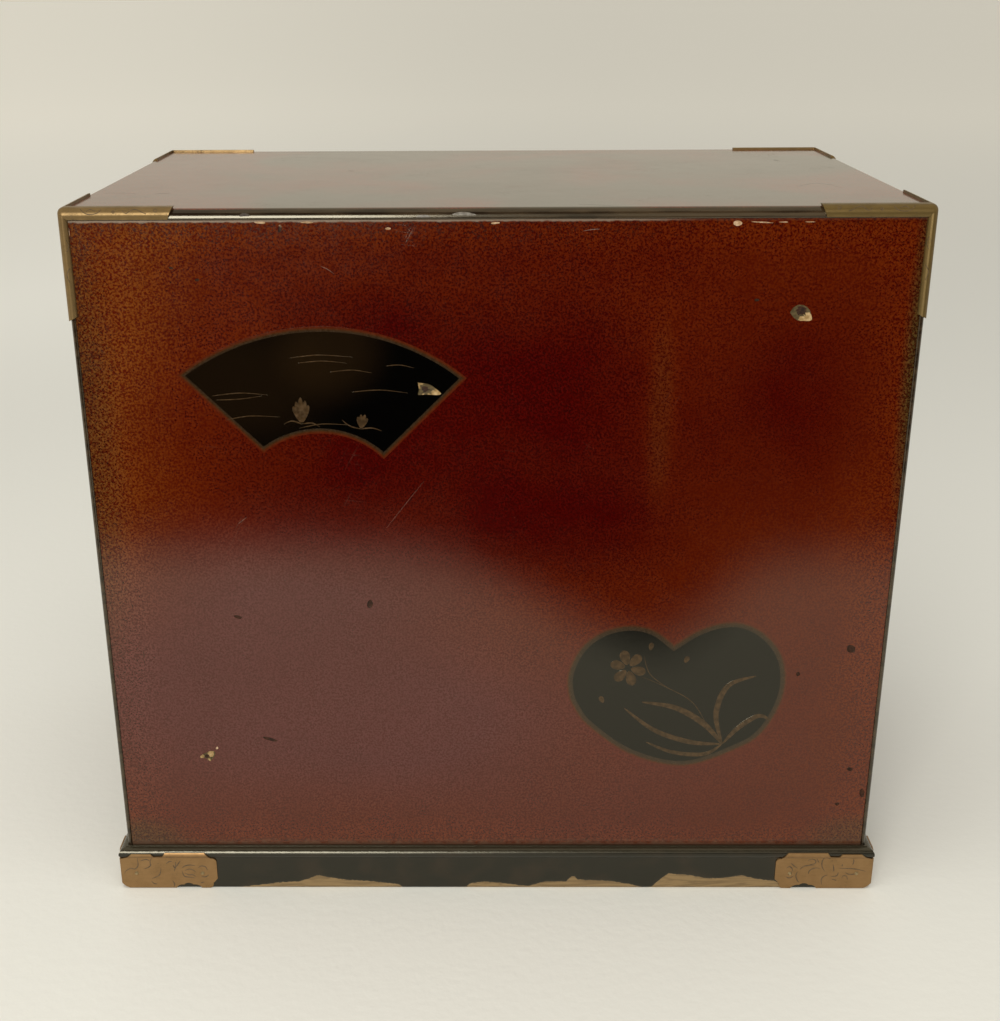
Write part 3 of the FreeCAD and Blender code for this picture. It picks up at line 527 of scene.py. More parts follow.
# Case boards: red outside, black on the rims at front and back, dark brown inside
def caseLacquer():
    shader, place = newMaterial("caseLacquer", IOR=1.6, Specular_Tint=redFinish["varnish"])
    lacquer = redColours(place)
    wear = handledBy(place, caseFinish["handled"])
    across, deep, up = coordinates(place)
    reach = abs(deep) + swing(noise(place, *caseFinish["wobble"]), caseFinish["wobbleSwing"])
    rimStart = case["halfDepth"] - case["rim"]
    rim = fade(reach, rimStart, rimStart + caseFinish["rimSoft"])
    inside = 1.0
    for beyond in (abs(across) - (case["halfWidth"] - case["board"]), case["bottom"] + case["board"] - up,
                   up - (case["top"] - case["board"])):
        inside = fade(beyond, *caseFinish["insideFade"]) * inside
    # Olive-grey clouds at the top face: partly hazy bloom, partly painted reflection
    bloom = fade(noise(place, *caseFinish["bloomAndSheenClouds"]), *caseFinish["bloomAndSheenFade"])
    bloom = bloom * fade(up, case["top"] - caseFinish["bloomFrom"], case["top"] - caseFinish["bloomTo"])
    red = mixColours(bloom, dusted(lacquer["Color"], wear, redFinish), caseFinish["bloom"])
    streaks = noise(stretched(place, caseFinish["streakStretch"]), *caseFinish["streaks"])
    rimColour = mixColours(fade(streaks, *caseFinish["streakFade"]), caseFinish["rim"],
                           blackFinish["brown"])
    clouds = fade(noise(place, *caseFinish["insideClouds"]), *caseFinish["insideCloudFade"])
    within = mixColours(clouds, insideFinish["body"], insideFinish["worn"])
    rough = mixValues(larger(rim, inside), lacquer["Roughness"],
                      caseFinish["blackRough"]) + wear["Roughness"]
    colour = mixColours(rim, mixColours(inside, red, within), rimColour)
    connect(shader, Base_Color=colour, Roughness=rough)
    bump(shader, lacquer["Height"] + wear["Height"], redFinish["relief"])


def blackLacquer(name, gloss, brown, handled, blooms=(), **constants):
    shader, place = newMaterial(name, Specular_Tint=redFinish["varnish"], **constants)
    wear = handledBy(place, handled)
    body = mixColours(brown, blackFinish["body"], blackColour(place))
    if blooms:
        body = mixColours(spots(place, blooms), body, blackFinish["bloom"])
    connect(shader, Base_Color=dusted(body, wear, blackFinish), Roughness=wear["Roughness"] + gloss)
    bump(shader, noise(place, *blackFinish["ripple"]) + wear["Height"], redFinish["relief"])


# Plinth: black lacquer that has come off along the lower edge. A loss is a photo pixel and a height in mm.
plinthFinish = {
    "wood": rgb(0.205, 0.132, 0.056), "woodDark": rgb(0.105, 0.064, 0.026), "along": (1.2, 14.0, 14.0),
    "lip": rgb(0.018, 0.014, 0.01), "lipReach": 0.9 * mm, "lipShare": 0.6,
    "crumbs": rgb(0.03, 0.024, 0.014), "crumbFade": (22.2 * mm, 24.2 * mm), "crumbShare": 0.7,
    "beads": (900.0, 2.0, 0.6), "beadRelief": 5.0, "ripple": (120.0, 3.0, 0.55), "rippleRelief": 0.8,
    "dust": rgb(0.13, 0.11, 0.09), "dustShare": 0.35, "handled": 0.45,
    "lowerEdge": 885, "tallest": 10, "lossSoft": 0.25 * mm, "lossRelief": -6.0, "relief": 0.04 * mm,
    "losses": [(218, 0.0), (236, 0.2), (262, 2.0), (282, 3.6), (300, 4.1), (318, 8.0), (330, 6.8),
               (345, 5.2), (372, 4.2), (398, 2.4), (404, 0.0), (428, 0.0), (446, 0.3), (466, 0.5),
               (470, 3.0), (484, 4.0), (505, 2.9), (520, 1.6), (528, 1.2), (545, 4.1), (566, 4.3),
               (573, 8.2), (578, 5.3), (610, 4.6), (630, 2.4), (642, 0.4), (652, 0.6), (658, 4.6),
               (668, 9.4), (690, 8.2), (706, 6.2), (722, 6.4), (741, 8.2), (758, 5.6), (775, 4.6),
               (786, 1.0), (790, 0.0)],
    "ragged": (420.0, 4.0, 0.65), "raggedSwing": 1.8 * mm, "backFade": (2.0 * mm, 1.5 * mm),
    "otherLosses": (26.0, 4.0, 0.55), "otherStretch": (1.0, 1.0, 0.15),
    "otherFade": (0.5, 0.72, -1.5 * mm, 7.5 * mm),
    "lacquerRough": 0.1, "woodRough": 0.7, "beadRough": (19.5 * mm, 21 * mm, 0.0, 0.11),
}


def plinthLacquer():
    shader, place = newMaterial("plinthLacquer", IOR=1.6, Specular_Tint=redFinish["varnish"])
    across, deep, up = coordinates(place)
    half, depth = plinthHigh.x, plinthHigh.y
    places = []
    for pixel, height in plinthFinish["losses"]:
        right, _ = backPoint(pixel, plinthFinish["lowerEdge"], depth)
        places.append((0.5 + 0.5 * right / half, height / plinthFinish["tallest"]))
    curve = curveThrough(across * (-0.5 / half) + 0.5, [(0.0, 0.0)] + places + [(1.0, 0.0)], True)
    ragged = swing(noise(place, *plinthFinish["ragged"]), plinthFinish["raggedSwing"])
    rolling = noise(stretched(place, plinthFinish["otherStretch"]), *plinthFinish["otherLosses"])
    isBack = fade(deep, *[depth - reach for reach in plinthFinish["backFade"]])
    other = fade(rolling, *plinthFinish["otherFade"]) + ragged
    below = mixValues(isBack, other, curve * (plinthFinish["tallest"] * mm) + ragged) - up
    lost = fade(below, 0.0, plinthFinish["lossSoft"])
    lip = fade(below, -plinthFinish["lipReach"], 0.0)
    crumbly = fade(up, *plinthFinish["crumbFade"])
    wood = useGroup("Wood Grain", Position=place, Light=plinthFinish["wood"], Dark=plinthFinish["woodDark"],
                    Along=plinthFinish["along"])
    wear = handledBy(place, plinthFinish["handled"])
    body = mixColours(lip * plinthFinish["lipShare"], blackColour(place), plinthFinish["lip"])
    body = mixColours(crumbly * plinthFinish["crumbShare"], dusted(body, wear, plinthFinish),
                      plinthFinish["crumbs"])
    rough = mixValues(lost, plinthFinish["lacquerRough"], plinthFinish["woodRough"])
    rough = rough + fade(up, *plinthFinish["beadRough"]) + wear["Roughness"]
    connect(shader, Base_Color=mixColours(lost, body, wood["Color"]), Roughness=rough)
    beads = noise(place, *plinthFinish["beads"]) * crumbly * plinthFinish["beadRelief"]
    ripple = noise(place, *plinthFinish["ripple"]) * plinthFinish["rippleRelief"]
    bump(shader, lost * plinthFinish["lossRelief"] + ripple + beads, plinthFinish["relief"])


# Metals: bright, dull and grime colours, then age, dirt and shine
metals = {
    "baseBrass": ((0.31, 0.185, 0.082), (0.2, 0.115, 0.043), (0.05, 0.033, 0.017), 0.45, 0.4, 0.8),
    "topBrass": ((0.24, 0.155, 0.062), (0.135, 0.085, 0.03), (0.035, 0.024, 0.01), 0.5, 0.45, 0.65),
    # shadedBrass: a darker copy of topBrass for the top mount on the viewer's right of the back, painted
    # shade
    "shadedBrass": ((0.165, 0.108, 0.034), (0.105, 0.067, 0.018), (0.03, 0.02, 0.009), 0.5, 0.5, 0.6),
    "doorBrass": ((0.5, 0.36, 0.16), (0.25, 0.165, 0.065), (0.04, 0.03, 0.015), 0.5, 0.4, 1.0),
    "nailBrass": ((0.5, 0.4, 0.24), (0.2, 0.14, 0.06), (0.03, 0.025, 0.015), 0.4, 0.4, 1.0),
    "steel": ((0.42, 0.41, 0.39), (0.2, 0.19, 0.175), (0.06, 0.04, 0.03), 0.5, 0.35, 1.0),
}
metalRelief = 0.05 * mm


def metal(name, bright, dull, grime, age, dirt, shine):
    shader, place = newMaterial(name)
    worn = useGroup("Metal Patina", Position=place, Bright=rgb(*bright), Dull=rgb(*dull), Grime=rgb(*grime),
                    Age=age, Dirt=dirt, Shine=shine)
    connect(shader, Base_Color=worn["Color"], Roughness=worn["Roughness"], Metallic=worn["Metallic"])
    bump(shader, worn["Height"], metalRelief)


# Paint, dirt and chips: two colours, the scale of their clouds, the roughness, and other shader values
matt = {"Specular_IOR_Level": 0.2}
varnished = {"relief": 0.01 * mm, "Specular_Tint": redFinish["varnish"]}
paints = {
    "engravedLine": ((0.045, 0.026, 0.01), (0.11, 0.065, 0.026), 700.0, 0.6, {}),
    "rimGold": ((0.11, 0.062, 0.02), (0.17, 0.1, 0.034), 260.0, 0.3, {"IOR": 1.6}),
    "paintedGold": ((0.024, 0.0125, 0.0045), (0.052, 0.028, 0.011), 380.0, 0.2, varnished),
    "gesso": ((0.2, 0.125, 0.045), (0.36, 0.25, 0.125), 600.0, 0.75, matt),
    "dent": ((0.012, 0.005, 0.002), (0.04, 0.014, 0.005), 600.0, 0.6, matt),
    "paleChip": ((0.3, 0.19, 0.1), (0.5, 0.37, 0.25), 500.0, 0.7, matt),
    "chipEdge": ((0.042, 0.029, 0.01), (0.08, 0.056, 0.022), 700.0, 0.6, matt),
    "scuff": ((0.02, 0.014, 0.01), (0.05, 0.035, 0.024), 900.0, 0.45, {"Specular_IOR_Level": 0.3}),
    "paleScuff": ((0.07, 0.032, 0.018), (0.13, 0.08, 0.055), 900.0, 0.55, {}),
    "filler": ((0.08, 0.068, 0.052), (0.17, 0.155, 0.13), 500.0, 0.4, {}),
    "insideLacquer": (insideFinish["body"][:3], insideFinish["worn"][:3], insideFinish["scale"], 0.32, {}),
}
rimTones = [(0.058, 0.0082, 0.0015), (0.045, 0.0112, 0.0027), (0.028, 0.0125, 0.0045),
            (0.022, 0.0122, 0.0058)]
rimFinishes = ["rimTone" + str(index + 1) for index in range(len(rimTones))]
rimSwing = 0.15
for name, tone in zip(rimFinishes, rimTones):
    first, second = [tuple(part * share for part in tone) for share in (1 - rimSwing, 1 + rimSwing)]
    paints[name] = (first, second, 420.0, 0.12, {"IOR": 1.54, **varnished})
paintLook = {"detail": (4.0, 0.6), "cloudFade": (0.35, 0.68), "roughFade": (0.3, 0.7), "roughSwing": 0.06,
             "bumpDetail": (3.0, 0.6), "relief": 0.06 * mm}


def paint(name, first, second, scale, rough, relief=paintLook["relief"], **constants):
    shader, place = newMaterial(name, **constants)
    share = fade(noise(place, scale, *paintLook["detail"]), *paintLook["cloudFade"])
    limits = (rough - paintLook["roughSwing"], rough + paintLook["roughSwing"])
    patchy = fade(noise(place, scale * 2), *paintLook["roughFade"], *limits)
    connect(shader, Base_Color=mixColours(share, rgb(*first), rgb(*second)), Roughness=patchy)
    bump(shader, noise(place, scale * 3, *paintLook["bumpDetail"]), relief)


bareWood = {
    "drawerWood": (rgb(0.5, 0.36, 0.2), rgb(0.33, 0.21, 0.1), (9.0, 1.0, 9.0)),
    "blockWood": (rgb(0.4, 0.27, 0.14), rgb(0.24, 0.15, 0.07), (9.0, 9.0, 1.0)),
    "stain": rgb(0.2, 0.12, 0.06), "stainClouds": (14.0, 3.0), "stainFade": (0.4, 0.75, 0.0, 0.45),
    "roughClouds": (60.0, 2.0), "roughFade": (0.3, 0.7, 0.55, 0.7), "relief": 0.08 * mm,
}


def woodMaterial(name):
    shader, place = newMaterial(name)
    light, dark, along = bareWood[name]
    wood = useGroup("Wood Grain", Position=place, Light=light, Dark=dark, Along=along)
    stain = fade(noise(place, *bareWood["stainClouds"]), *bareWood["stainFade"])
    rough = fade(noise(place, *bareWood["roughClouds"]), *bareWood["roughFade"])
    connect(shader, Base_Color=mixColours(stain, wood["Color"], bareWood["stain"]), Roughness=rough)
    bump(shader, wood["Height"], bareWood["relief"])


backLacquer()
redLacquer()
caseLacquer()
blackLacquer("blackLacquer", 0.14, 0.8, 0.3, IOR=1.6)
blackLacquer("reserveBlack", 0.05, 0.0, 0.12, blackFinish["fanBlooms"], IOR=1.54)
plinthLacquer()
for name, facts in metals.items():
    metal(name, *facts)
for name, (*facts, constants) in paints.items():
    paint(name, *facts, **constants)
for name in ("drawerWood", "blockWood"):
    woodMaterial(name)
print("stage: materials made")


# Which finish each carried-over piece wears
finishes = {
    "caseLacquer": ["top_board", "bottom_board", "left_side", "right_side"],
    "blackLacquer": ["lower_shelf", "upper_shelf", "left_partition", "right_partition"],
    "insideLacquer": ["cupboard_shelf", "door_stops"],
    "plinthLacquer": ["plinth_front", "plinth_back", "plinth_left", "plinth_right"],
    "redLacquer": ["left_door", "right_door", "left_drawer_front", "centre_drawer_front",
                   "right_drawer_front", "long_drawer_front"],
    "blockWood": ["plinth_corner_blocks"],
    "drawerWood": ["left_drawer_box", "centre_drawer_box", "right_drawer_box", "long_drawer_box"],
    "steel": ["lock_case", "lock_bolt", "lock_keeper"],
    "nailBrass": ["case_nails", "left_door_nails", "right_door_nails", "hinge_pins"],
    # The top mount on the viewer's right of the back wears the darker brass: painted shade
    "shadedBrass": ["top_mount_back_left"],
    "topBrass": [name for name in nodes if name.startswith("top_mount") and name != "top_mount_back_left"],
    "baseBrass": [name for name in nodes if name.startswith("base_mount")],
}
dressed = {name for names in finishes.values() for name in names}
finishes["doorBrass"] = [name for name in nodes if name not in dressed and name != "back_panel"]
for finish, names in finishes.items():
    for name in names:
        nodes[name].data.materials.clear()
        nodes[name].data.materials.append(materials[finish])


# A surface to lay things on: its middle, the viewer's right, up, and the way out
def surface(middle, right, out):
    return {"middle": Vector(middle), "right": Vector(right), "up": Vector((0, 0, 1)), "out": Vector(out)}


def onSurface(face, right, up, height):
    return face["middle"] + face["right"] * right + face["up"] * up + face["out"] * height


backFace = surface((0, case["panelFace"], 0), (-1, 0, 0), (0, 1, 0))


def backPixels(pixels):
    return [backPoint(across, down) for across, down in pixels]


# Points along a circle that runs through three places
def arcThrough(start, middle, end, steps):
    (ax, ay), (bx, by), (cx, cy) = start, middle, end
    twice = 2 * (ax * (by - cy) + bx * (cy - ay) + cx * (ay - by))
    a, b, c = ax * ax + ay * ay, bx * bx + by * by, cx * cx + cy * cy
    x = (a * (by - cy) + b * (cy - ay) + c * (ay - by)) / twice
    y = (a * (cx - bx) + b * (ax - cx) + c * (bx - ax)) / twice
    radius = math.hypot(ax - x, ay - y)
    first = math.atan2(ay - y, ax - x)
    last = math.atan2(cy - y, cx - x)
    turn = (last - first + math.pi) % (2 * math.pi) - math.pi
    angles = [first + turn * i / steps for i in range(steps + 1)]
    return [(x + radius * math.cos(one), y + radius * math.sin(one)) for one in angles]


# A curve through all the points, with so many steps between two of them
def smoothLine(points, steps):
    ends = [points[0]] + list(points) + [points[-1]]
    line = []
    for i in range(1, len(ends) - 2):
        for k in range(steps):
            t = k / steps
            weights = (-t ** 3 + 2 * t * t - t, 3 * t ** 3 - 5 * t * t + 2, -3 * t ** 3 + 4 * t * t + t,
                       t ** 3 - t * t)
            line.append(tuple(sum(w * ends[i - 1 + n][axis] for n, w in enumerate(weights)) / 2
                              for axis in range(len(points[0]))))
    return line + [tuple(points[-1])]


mitreLimit = 0.35  # keeps a sharp corner of a line from reaching far out


# The way across a line at one of its points, longer at a corner so that the line keeps its width
def sideways(line, index, closed):
    count = len(line)
    before = line[(index - 1) % count] if closed or index > 0 else line[index]
    after = line[(index + 1) % count] if closed or index < count - 1 else line[index]
    here = line[index]
    steps = []
    for one, two in ((before, here), (here, after)):
        run = Vector(two[:2]) - Vector(one[:2])
        if run.length > 0:
            steps.append(run.normalized())
    first, last = steps[0], steps[-1]
    middle = (first + last).normalized()
    across = Vector((-middle.y, middle.x))
    return across / max(across.dot(Vector((-first.y, first.x))), mitreLimit)


weldReach = 1e-7  # corners closer than this become one
planReach = 1e-9


def finishPiece(name, mesh, body, finish, smooth=False):
    made = bmesh.new()
    made.from_mesh(mesh)
    bmesh.ops.remove_doubles(made, verts=made.verts, dist=weldReach)
    bmesh.ops.recalc_face_normals(made, faces=made.faces)
    made.to_mesh(mesh)
    made.free()
    piece = bpy.data.objects.new(name, mesh)
    bpy.context.scene.collection.objects.link(piece)
    for one in ([finish] if isinstance(finish, str) else finish):
        mesh.materials.append(materials[one])
    mesh.polygons.foreach_set("use_smooth", [smooth] * len(mesh.polygons))
    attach(piece, body)
    return piece


def meshFrom(name, corners, faces, finishIndex=None):
    mesh = bpy.data.meshes.new(name)
    mesh.from_pydata([tuple(one) for one in corners], [], faces)
    if finishIndex:
        for polygon, index in zip(mesh.polygons, finishIndex):
            polygon.material_index = index
    return mesh


def turned(outline, clockwise):
    area = sum(a[0] * b[1] - b[0] * a[1] for a, b in zip(outline, outline[1:] + outline[:1]))
    return outline[::-1] if (area < 0) != clockwise else list(outline)


def isInside(spot, loop):
    inside = False
    for (ax, ay), (bx, by) in zip(loop, loop[1:] + loop[:1]):
        if (ay > spot[1]) != (by > spot[1]) and spot[0] < (bx - ax) * (spot[1] - ay) / (by - ay) + ax:
            inside = not inside
    return inside


# Triangles over an outline with holes, all in the viewer's right and up
def filled(outline, holes):
    loops = [turned(outline, False)] + [turned(hole, True) for hole in holes]
    flat = [one for loop in loops for one in loop]
    edges, start = [], 0
    for loop in loops:
        edges += [(start + i, start + (i + 1) % len(loop)) for i in range(len(loop))]
        start += len(loop)
    spots, _, faces, _, _, _ = delaunay_2d_cdt([Vector(one) for one in flat], edges, [], 0, planReach)
    kept = []
    for face in faces:
        middle = sum((spots[i] for i in face), Vector((0, 0))) / 3
        if isInside(middle, loops[0]) and not any(isInside(middle, hole) for hole in loops[1:]):
            kept.append(tuple(face))
    return loops, [tuple(spot) for spot in spots], kept


# A thin sheet with an outline and holes, from a low height to a high one
def sheetMesh(name, face, outline, holes, low, high):
    loops, flat, faces = filled(outline, holes)
    count = len(flat)
    corners = [onSurface(face, u, v, high) for u, v in flat] + [onSurface(face, u, v, low) for u, v in flat]
    faces = faces + [tuple(count + i for i in reversed(one)) for one in faces]
    start = 0
    for loop in loops:
        size = len(loop)
        for i in range(size):
            a, b = start + i, start + (i + 1) % size
            faces.append((a, b, b + count, a + count))
        start += size
    return meshFrom(name, corners, faces)


# Faces of a strip that runs through so many rows of corners, with ends unless it closes
def stripFaces(start, rows, across, closed=False):
    faces = []
    for i in range(rows if closed else rows - 1):
        here, there = start + i * across, start + (i + 1) % rows * across
        for k in range(across):
            faces.append((here + k, here + (k + 1) % across, there + (k + 1) % across, there + k))
    if not closed:
        faces.append(tuple(start + k for k in range(across)))
        faces.append(tuple(start + (rows - 1) * across + k for k in reversed(range(across))))
    return faces


# Sections of a painted or engraved line, as shares of its half width and its height
flatSection = ((-1.0, -0.3), (-0.9, 0.9), (0.0, 1.0), (0.9, 0.9), (1.0, -0.3))
ridgeSection = ((-1.0, -0.3), (0.0, 1.0), (1.0, -0.3))


# Low rounded lines on a flat surface. Each line: points, half widths, and whether it closes.
def lineMesh(name, face, lines, height):
    corners, faces = [], []
    for line, widths, closed in lines:
        faces += stripFaces(len(corners), len(line), len(flatSection), closed)
        for index, spot in enumerate(line):
            side = sideways(line, index, closed) * widths[index]
            for out, up in flatSection:
                corners.append(onSurface(face, spot[0] + side.x * out, spot[1] + side.y * out, height * up))
    return meshFrom(name, corners, faces)


# A brush stroke's half widths. It is fullest at a share of its length and thin at both ends.
brushTip = {"widthShare": 0.12, "roundness": 0.8}


def brushWidths(count, wide, full=0.4):
    widths = []
    for i in range(count):
        t = i / (count - 1)
        swell = max(t / full if t < full else (1 - t) / (1 - full), 0.0)
        body = (1 - brushTip["widthShare"]) * math.sin(0.5 * math.pi * swell) ** brushTip["roundness"]
        widths.append(wide * (brushTip["widthShare"] + body) / 2)
    return widths


def brush(points, wide, full=0.4, steps=7):
    line = smoothLine(points, steps)
    return line, brushWidths(len(line), wide, full), False


# Fan and heart outlines on the back, as photo pixels of their outer edges. rimStarts is how far in from there
# each strip of the rim starts.
reserves = {
    "fan": {"leftTip": (177, 375), "rightTip": (467, 378), "outerMiddle": (321, 326.5),
            "lowerLeft": (263.5, 453), "lowerRight": (384, 459), "innerMiddle": (320, 433.5)},
    "heart": [(674.5, 643.6), (655, 629.5), (630, 624.5), (602, 631), (580, 647.5), (567.5, 672),
              (567, 692), (573, 708), (588, 727), (630, 755), (684.7, 766.5), (739.4, 748.5), (763, 733),
              (780, 707), (787, 681), (783, 655), (767, 634), (745, 622.5), (722, 622), (697, 630),
              (674.5, 643.6)],
    "rimStarts": {"fan": [0, 0.7 * mm, 1.3 * mm, 1.9 * mm, 2.5 * mm],
                  "heart": [0, 0.6 * mm, 1.2 * mm, 2.1 * mm, 3.4 * mm]},
    "rimHeight": 0.05 * mm, "fieldHeight": 0.03 * mm, "strokeHeight": 0.06 * mm, "sunk": 0.1 * mm,
    "outerSteps": 40, "innerSteps": 20, "heartSteps": 5,
}


def fanOutline(spots):
    outer = arcThrough(spots["leftTip"], spots["outerMiddle"], spots["rightTip"], reserves["outerSteps"])
    return outer + arcThrough(spots["lowerRight"], spots["innerMiddle"], spots["lowerLeft"],
                              reserves["innerSteps"])


fanBack = backPixels(fanOutline(reserves["fan"]))
heartBack = backPixels(smoothLine(reserves["heart"], reserves["heartSteps"])[:-1])


def inset(outline, distance):
    outline = turned(outline, False)
    sides = [sideways(outline, index, True) for index in range(len(outline))]
    return [(spot[0] + side.x * distance, spot[1] + side.y * distance)
            for spot, side in zip(outline, sides)]


# A flat rim in strips, from the reddest one outside to the darkest one inside
def rimMesh(name, face, outline, starts):
    loops = [inset(outline, start) for start in starts]
    rows = [(loop, reserves["rimHeight"]) for loop in loops]
    rows += [(loops[-1], -reserves["sunk"]), (loops[0], -reserves["sunk"])]
    corners = [onSurface(face, u, v, height) for loop, height in rows for u, v in loop]
    count = len(outline)
    faces, finish = [], []
    for row in range(len(rows)):
        here, there = row * count, (row + 1) % len(rows) * count
        for i in range(count):
            j = (i + 1) % count
            faces.append((here + i, here + j, there + j, there + i))
            finish.append(min(row, len(rimTones) - 1))
    return meshFrom(name, corners, faces, finish)


def makeReserve(name, outline, holes):
    starts = reserves["rimStarts"][name]
    inner = inset(outline, starts[-1])
    field = sheetMesh(name + "_field", backFace, inner, holes, -reserves["sunk"], reserves["fieldHeight"])
    finishPiece(name + "_field", field, "case", "reserveBlack")
    rim = rimMesh(name + "_rim", backFace, outline, starts)
    finishPiece(name + "_rim", rim, "case", rimFinishes)


# Chips in the back, in photo pixels. The large ones have an outline, and round places that are light or dark.
# The small ones have a place, a width, a height and a turn in degrees. The rings of a chip are shares of its
# outline and of its depth.
chips = {
    "crater": {"outline": [(790, 312.6), (793, 308), (796.5, 305.6), (800.5, 304.6), (805.5, 306),
                           (809.5, 309.6), (811, 314), (812, 319.6), (808, 321), (803, 320.8), (798, 320.6),
                           (793.5, 317.5)],
               "light": [((807.5, 317), 4.8), ((803, 318.6), 3.2)], "dark": [((801.5, 310.6), 4.0)]},
    "lowerLeft": {"outline": [(200, 756.6), (202.5, 754.5), (206, 752.8), (210, 751.2), (214.6, 751.4),
                              (215, 755), (212.5, 758.6), (210.3, 761), (207.6, 759.2), (204, 757.8),
                              (201, 758)],
                  "light": [((210.5, 754), 3.2), ((202.5, 757), 2.2), ((209.6, 760), 1.5)],
                  "dark": [((207, 756.8), 1.6)]},
    "fan": {"outline": [(417.3, 382.2), (421, 383), (426, 383.6), (431, 385.2), (436, 388.8), (441, 393.2),
                        (438.5, 395), (430, 394.7), (424, 394.6), (418, 394.8), (418.9, 390), (418.4, 386)],
            "light": [((418.5, 388), 2.2), ((436, 392), 4.5), ((421, 384), 2.4), ((424, 394.5), 1.3),
                      ((430, 394.5), 1.3)],
            "dark": [((425, 389.5), 2.6)]},
    "pale": [(260, 222.6, 12, 2.6, 2), (306, 222.4, 13, 2.2, 0), (388, 228.5, 6, 2.6, 4),
             (495, 223, 9, 2.4, -3), (738, 223.2, 10, 6.0, 0), (762, 222.2, 23, 1.4, 3),
             (784, 222, 10, 1.2, 0), (810, 221.8, 11, 1.2, 0), (68.5, 231, 2.0, 12, -10),
             (217, 748, 2.6, 2.4, 0), (280, 226, 3, 2, 30)],
    "dark": [(851, 649, 9, 8, 0), (370, 604, 6, 9, 15), (238, 617, 9, 3, 15), (270, 739, 17, 3, 15),
             (798, 674, 4, 5, 0), (850, 769, 6, 4, 10), (862, 793, 5, 9, 0), (837, 804, 4, 3, 0),
             (171, 268, 5, 2.5, 5), (757, 300, 5, 3, 0), (280, 229, 4, 7, 10), (197, 280, 5, 2.5, 0)],
    "depth": 0.45 * mm, "points": 16, "bumpy": (0.78, 1.12), "uneven": (0.85, 1.1), "seed": 11,
    "rings": ((0.93, 0.3), (0.8, 0.75), (0.62, 0.9), (0.42, 1.0), (0.2, 0.95)), "middleShare": 0.9,
    "edgeSteps": 3,
}
chipFinishes = ["backRedLacquer", "gesso", "paleChip", "dent", "chipEdge", "insideLacquer"]


def chipOutline(spot, chance):
    across, down, wide, high, turn = spot
    count = chips["points"]
    bumps = [chance.uniform(*chips["bumpy"]) for _ in range(count)]
    tilt = math.radians(turn)
    outline = []
    for i in range(count):
        angle = 2 * math.pi * i / count
        reach = (bumps[i] + bumps[i - 1]) / 2
        x, y = wide / 2 * reach * math.cos(angle), high / 2 * reach * math.sin(angle)
        outline.append((across + x * math.cos(tilt) - y * math.sin(tilt),
                        down + x * math.sin(tilt) + y * math.cos(tilt)))
    return backPixels(outline)


# The light and dark places of a large chip, as middle, reach and finish
def chipZones(chip):
    zones = []
    for word, finish in (("dark", "dent"), ("light", "gesso")):
        for (across, down), reach in chip[word]:
            middle = backPoint(across, down)
            edge = backPoint(across + reach, down)
            zones.append((middle, edge[0] - middle[0], chipFinishes.index(finish)))
    return zones


def zoneFinish(spot, zones, otherwise):
    for middle, reach, finish in zones:
        if math.hypot(spot[0] - middle[0], spot[1] - middle[1]) < reach:
            return finish
    return otherwise


# Each chip of the back: its outline, its zones, and its finish outside them
def chipsOfBack(chance):
    hollows = []
    for word in ("crater", "lowerLeft", "fan"):
        edge = chips[word]["outline"]
        outline = backPixels(smoothLine(edge + edge[:1], chips["edgeSteps"])[:-1])
        hollows.append((outline, chipZones(chips[word]), chipFinishes.index("chipEdge")))
    for word, finish in (("pale", "paleChip"), ("dark", "dent")):
        for spot in chips[word]:
            hollows.append((chipOutline(spot, chance), [], chipFinishes.index(finish)))
    return hollows


# The bowl of one chip, ring by ring down to its middle, added to the corners, faces and finishes
def addBowl(chance, hollow, loop, start, corners, faces, finish):
    _, zones, otherwise = hollow
    size = len(loop)
    middle = (sum(u for u, _ in loop) / size, sum(v for _, v in loop) / size)
    last = list(range(start, start + size))
    for share, down in chips["rings"]:
        ring = []
        for index, (u, v) in enumerate(loop):
            rough = chance.uniform(*chips["uneven"])
            spot = (middle[0] + (u - middle[0]) * share, middle[1] + (v - middle[1]) * share)
            ring.append(len(corners))
            corners.append(onSurface(backFace, *spot, -chips["depth"] * down * rough))
            finish.append(zoneFinish(spot, zones, otherwise))
        faces += [(last[i], last[(i + 1) % size], ring[(i + 1) % size], ring[i]) for i in range(size)]
        last = ring
    faces += [(last[i], last[(i + 1) % size], len(corners)) for i in range(size)]
    finish += [zoneFinish(middle, zones, otherwise)] * size
    corners.append(onSurface(backFace, *middle, -chips["depth"] * chips["middleShare"]))


# The back panel as one closed piece with its chips, in place of the plain board
def makeBackPanel():
    chance = random.Random(chips["seed"])
    hollows = chipsOfBack(chance)
    half = panelHigh.x
    outline = [(-half, panelLow.z), (half, panelLow.z), (half, panelHigh.z), (-half, panelHigh.z)]
    loops, flat, faces = filled(outline, [hollow[0] for hollow in hollows])
    corners = [onSurface(backFace, u, v, 0) for u, v in flat]
    behind = len(corners)
    corners += [onSurface(backFace, u, v, panelLow.y - panelHigh.y) for u, v in loops[0]]
    sides = len(outline)
    faces += [(i, behind + i, behind + (i + 1) % sides, (i + 1) % sides) for i in range(sides)]
    finish = [0] * len(faces)
    faces.append(tuple(behind + i for i in reversed(range(sides))))
    finish.append(chipFinishes.index("insideLacquer"))
    start = sides
    for hollow, loop in zip(hollows, loops[1:]):
        addBowl(chance, hollow, loop, start, corners, faces, finish)
        start += len(loop)
    mesh = meshFrom("back_panel_lacquered", corners, faces, finish)
    piece = finishPiece("back_panel_lacquered", mesh, "case", chipFinishes)
    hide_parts("back_panel")
    return hollows


fanChip = makeBackPanel()[2][0]
makeReserve("fan", fanBack, [fanChip])
makeReserve("heart", heartBack, [])
print("stage: back panel and its reserves made")


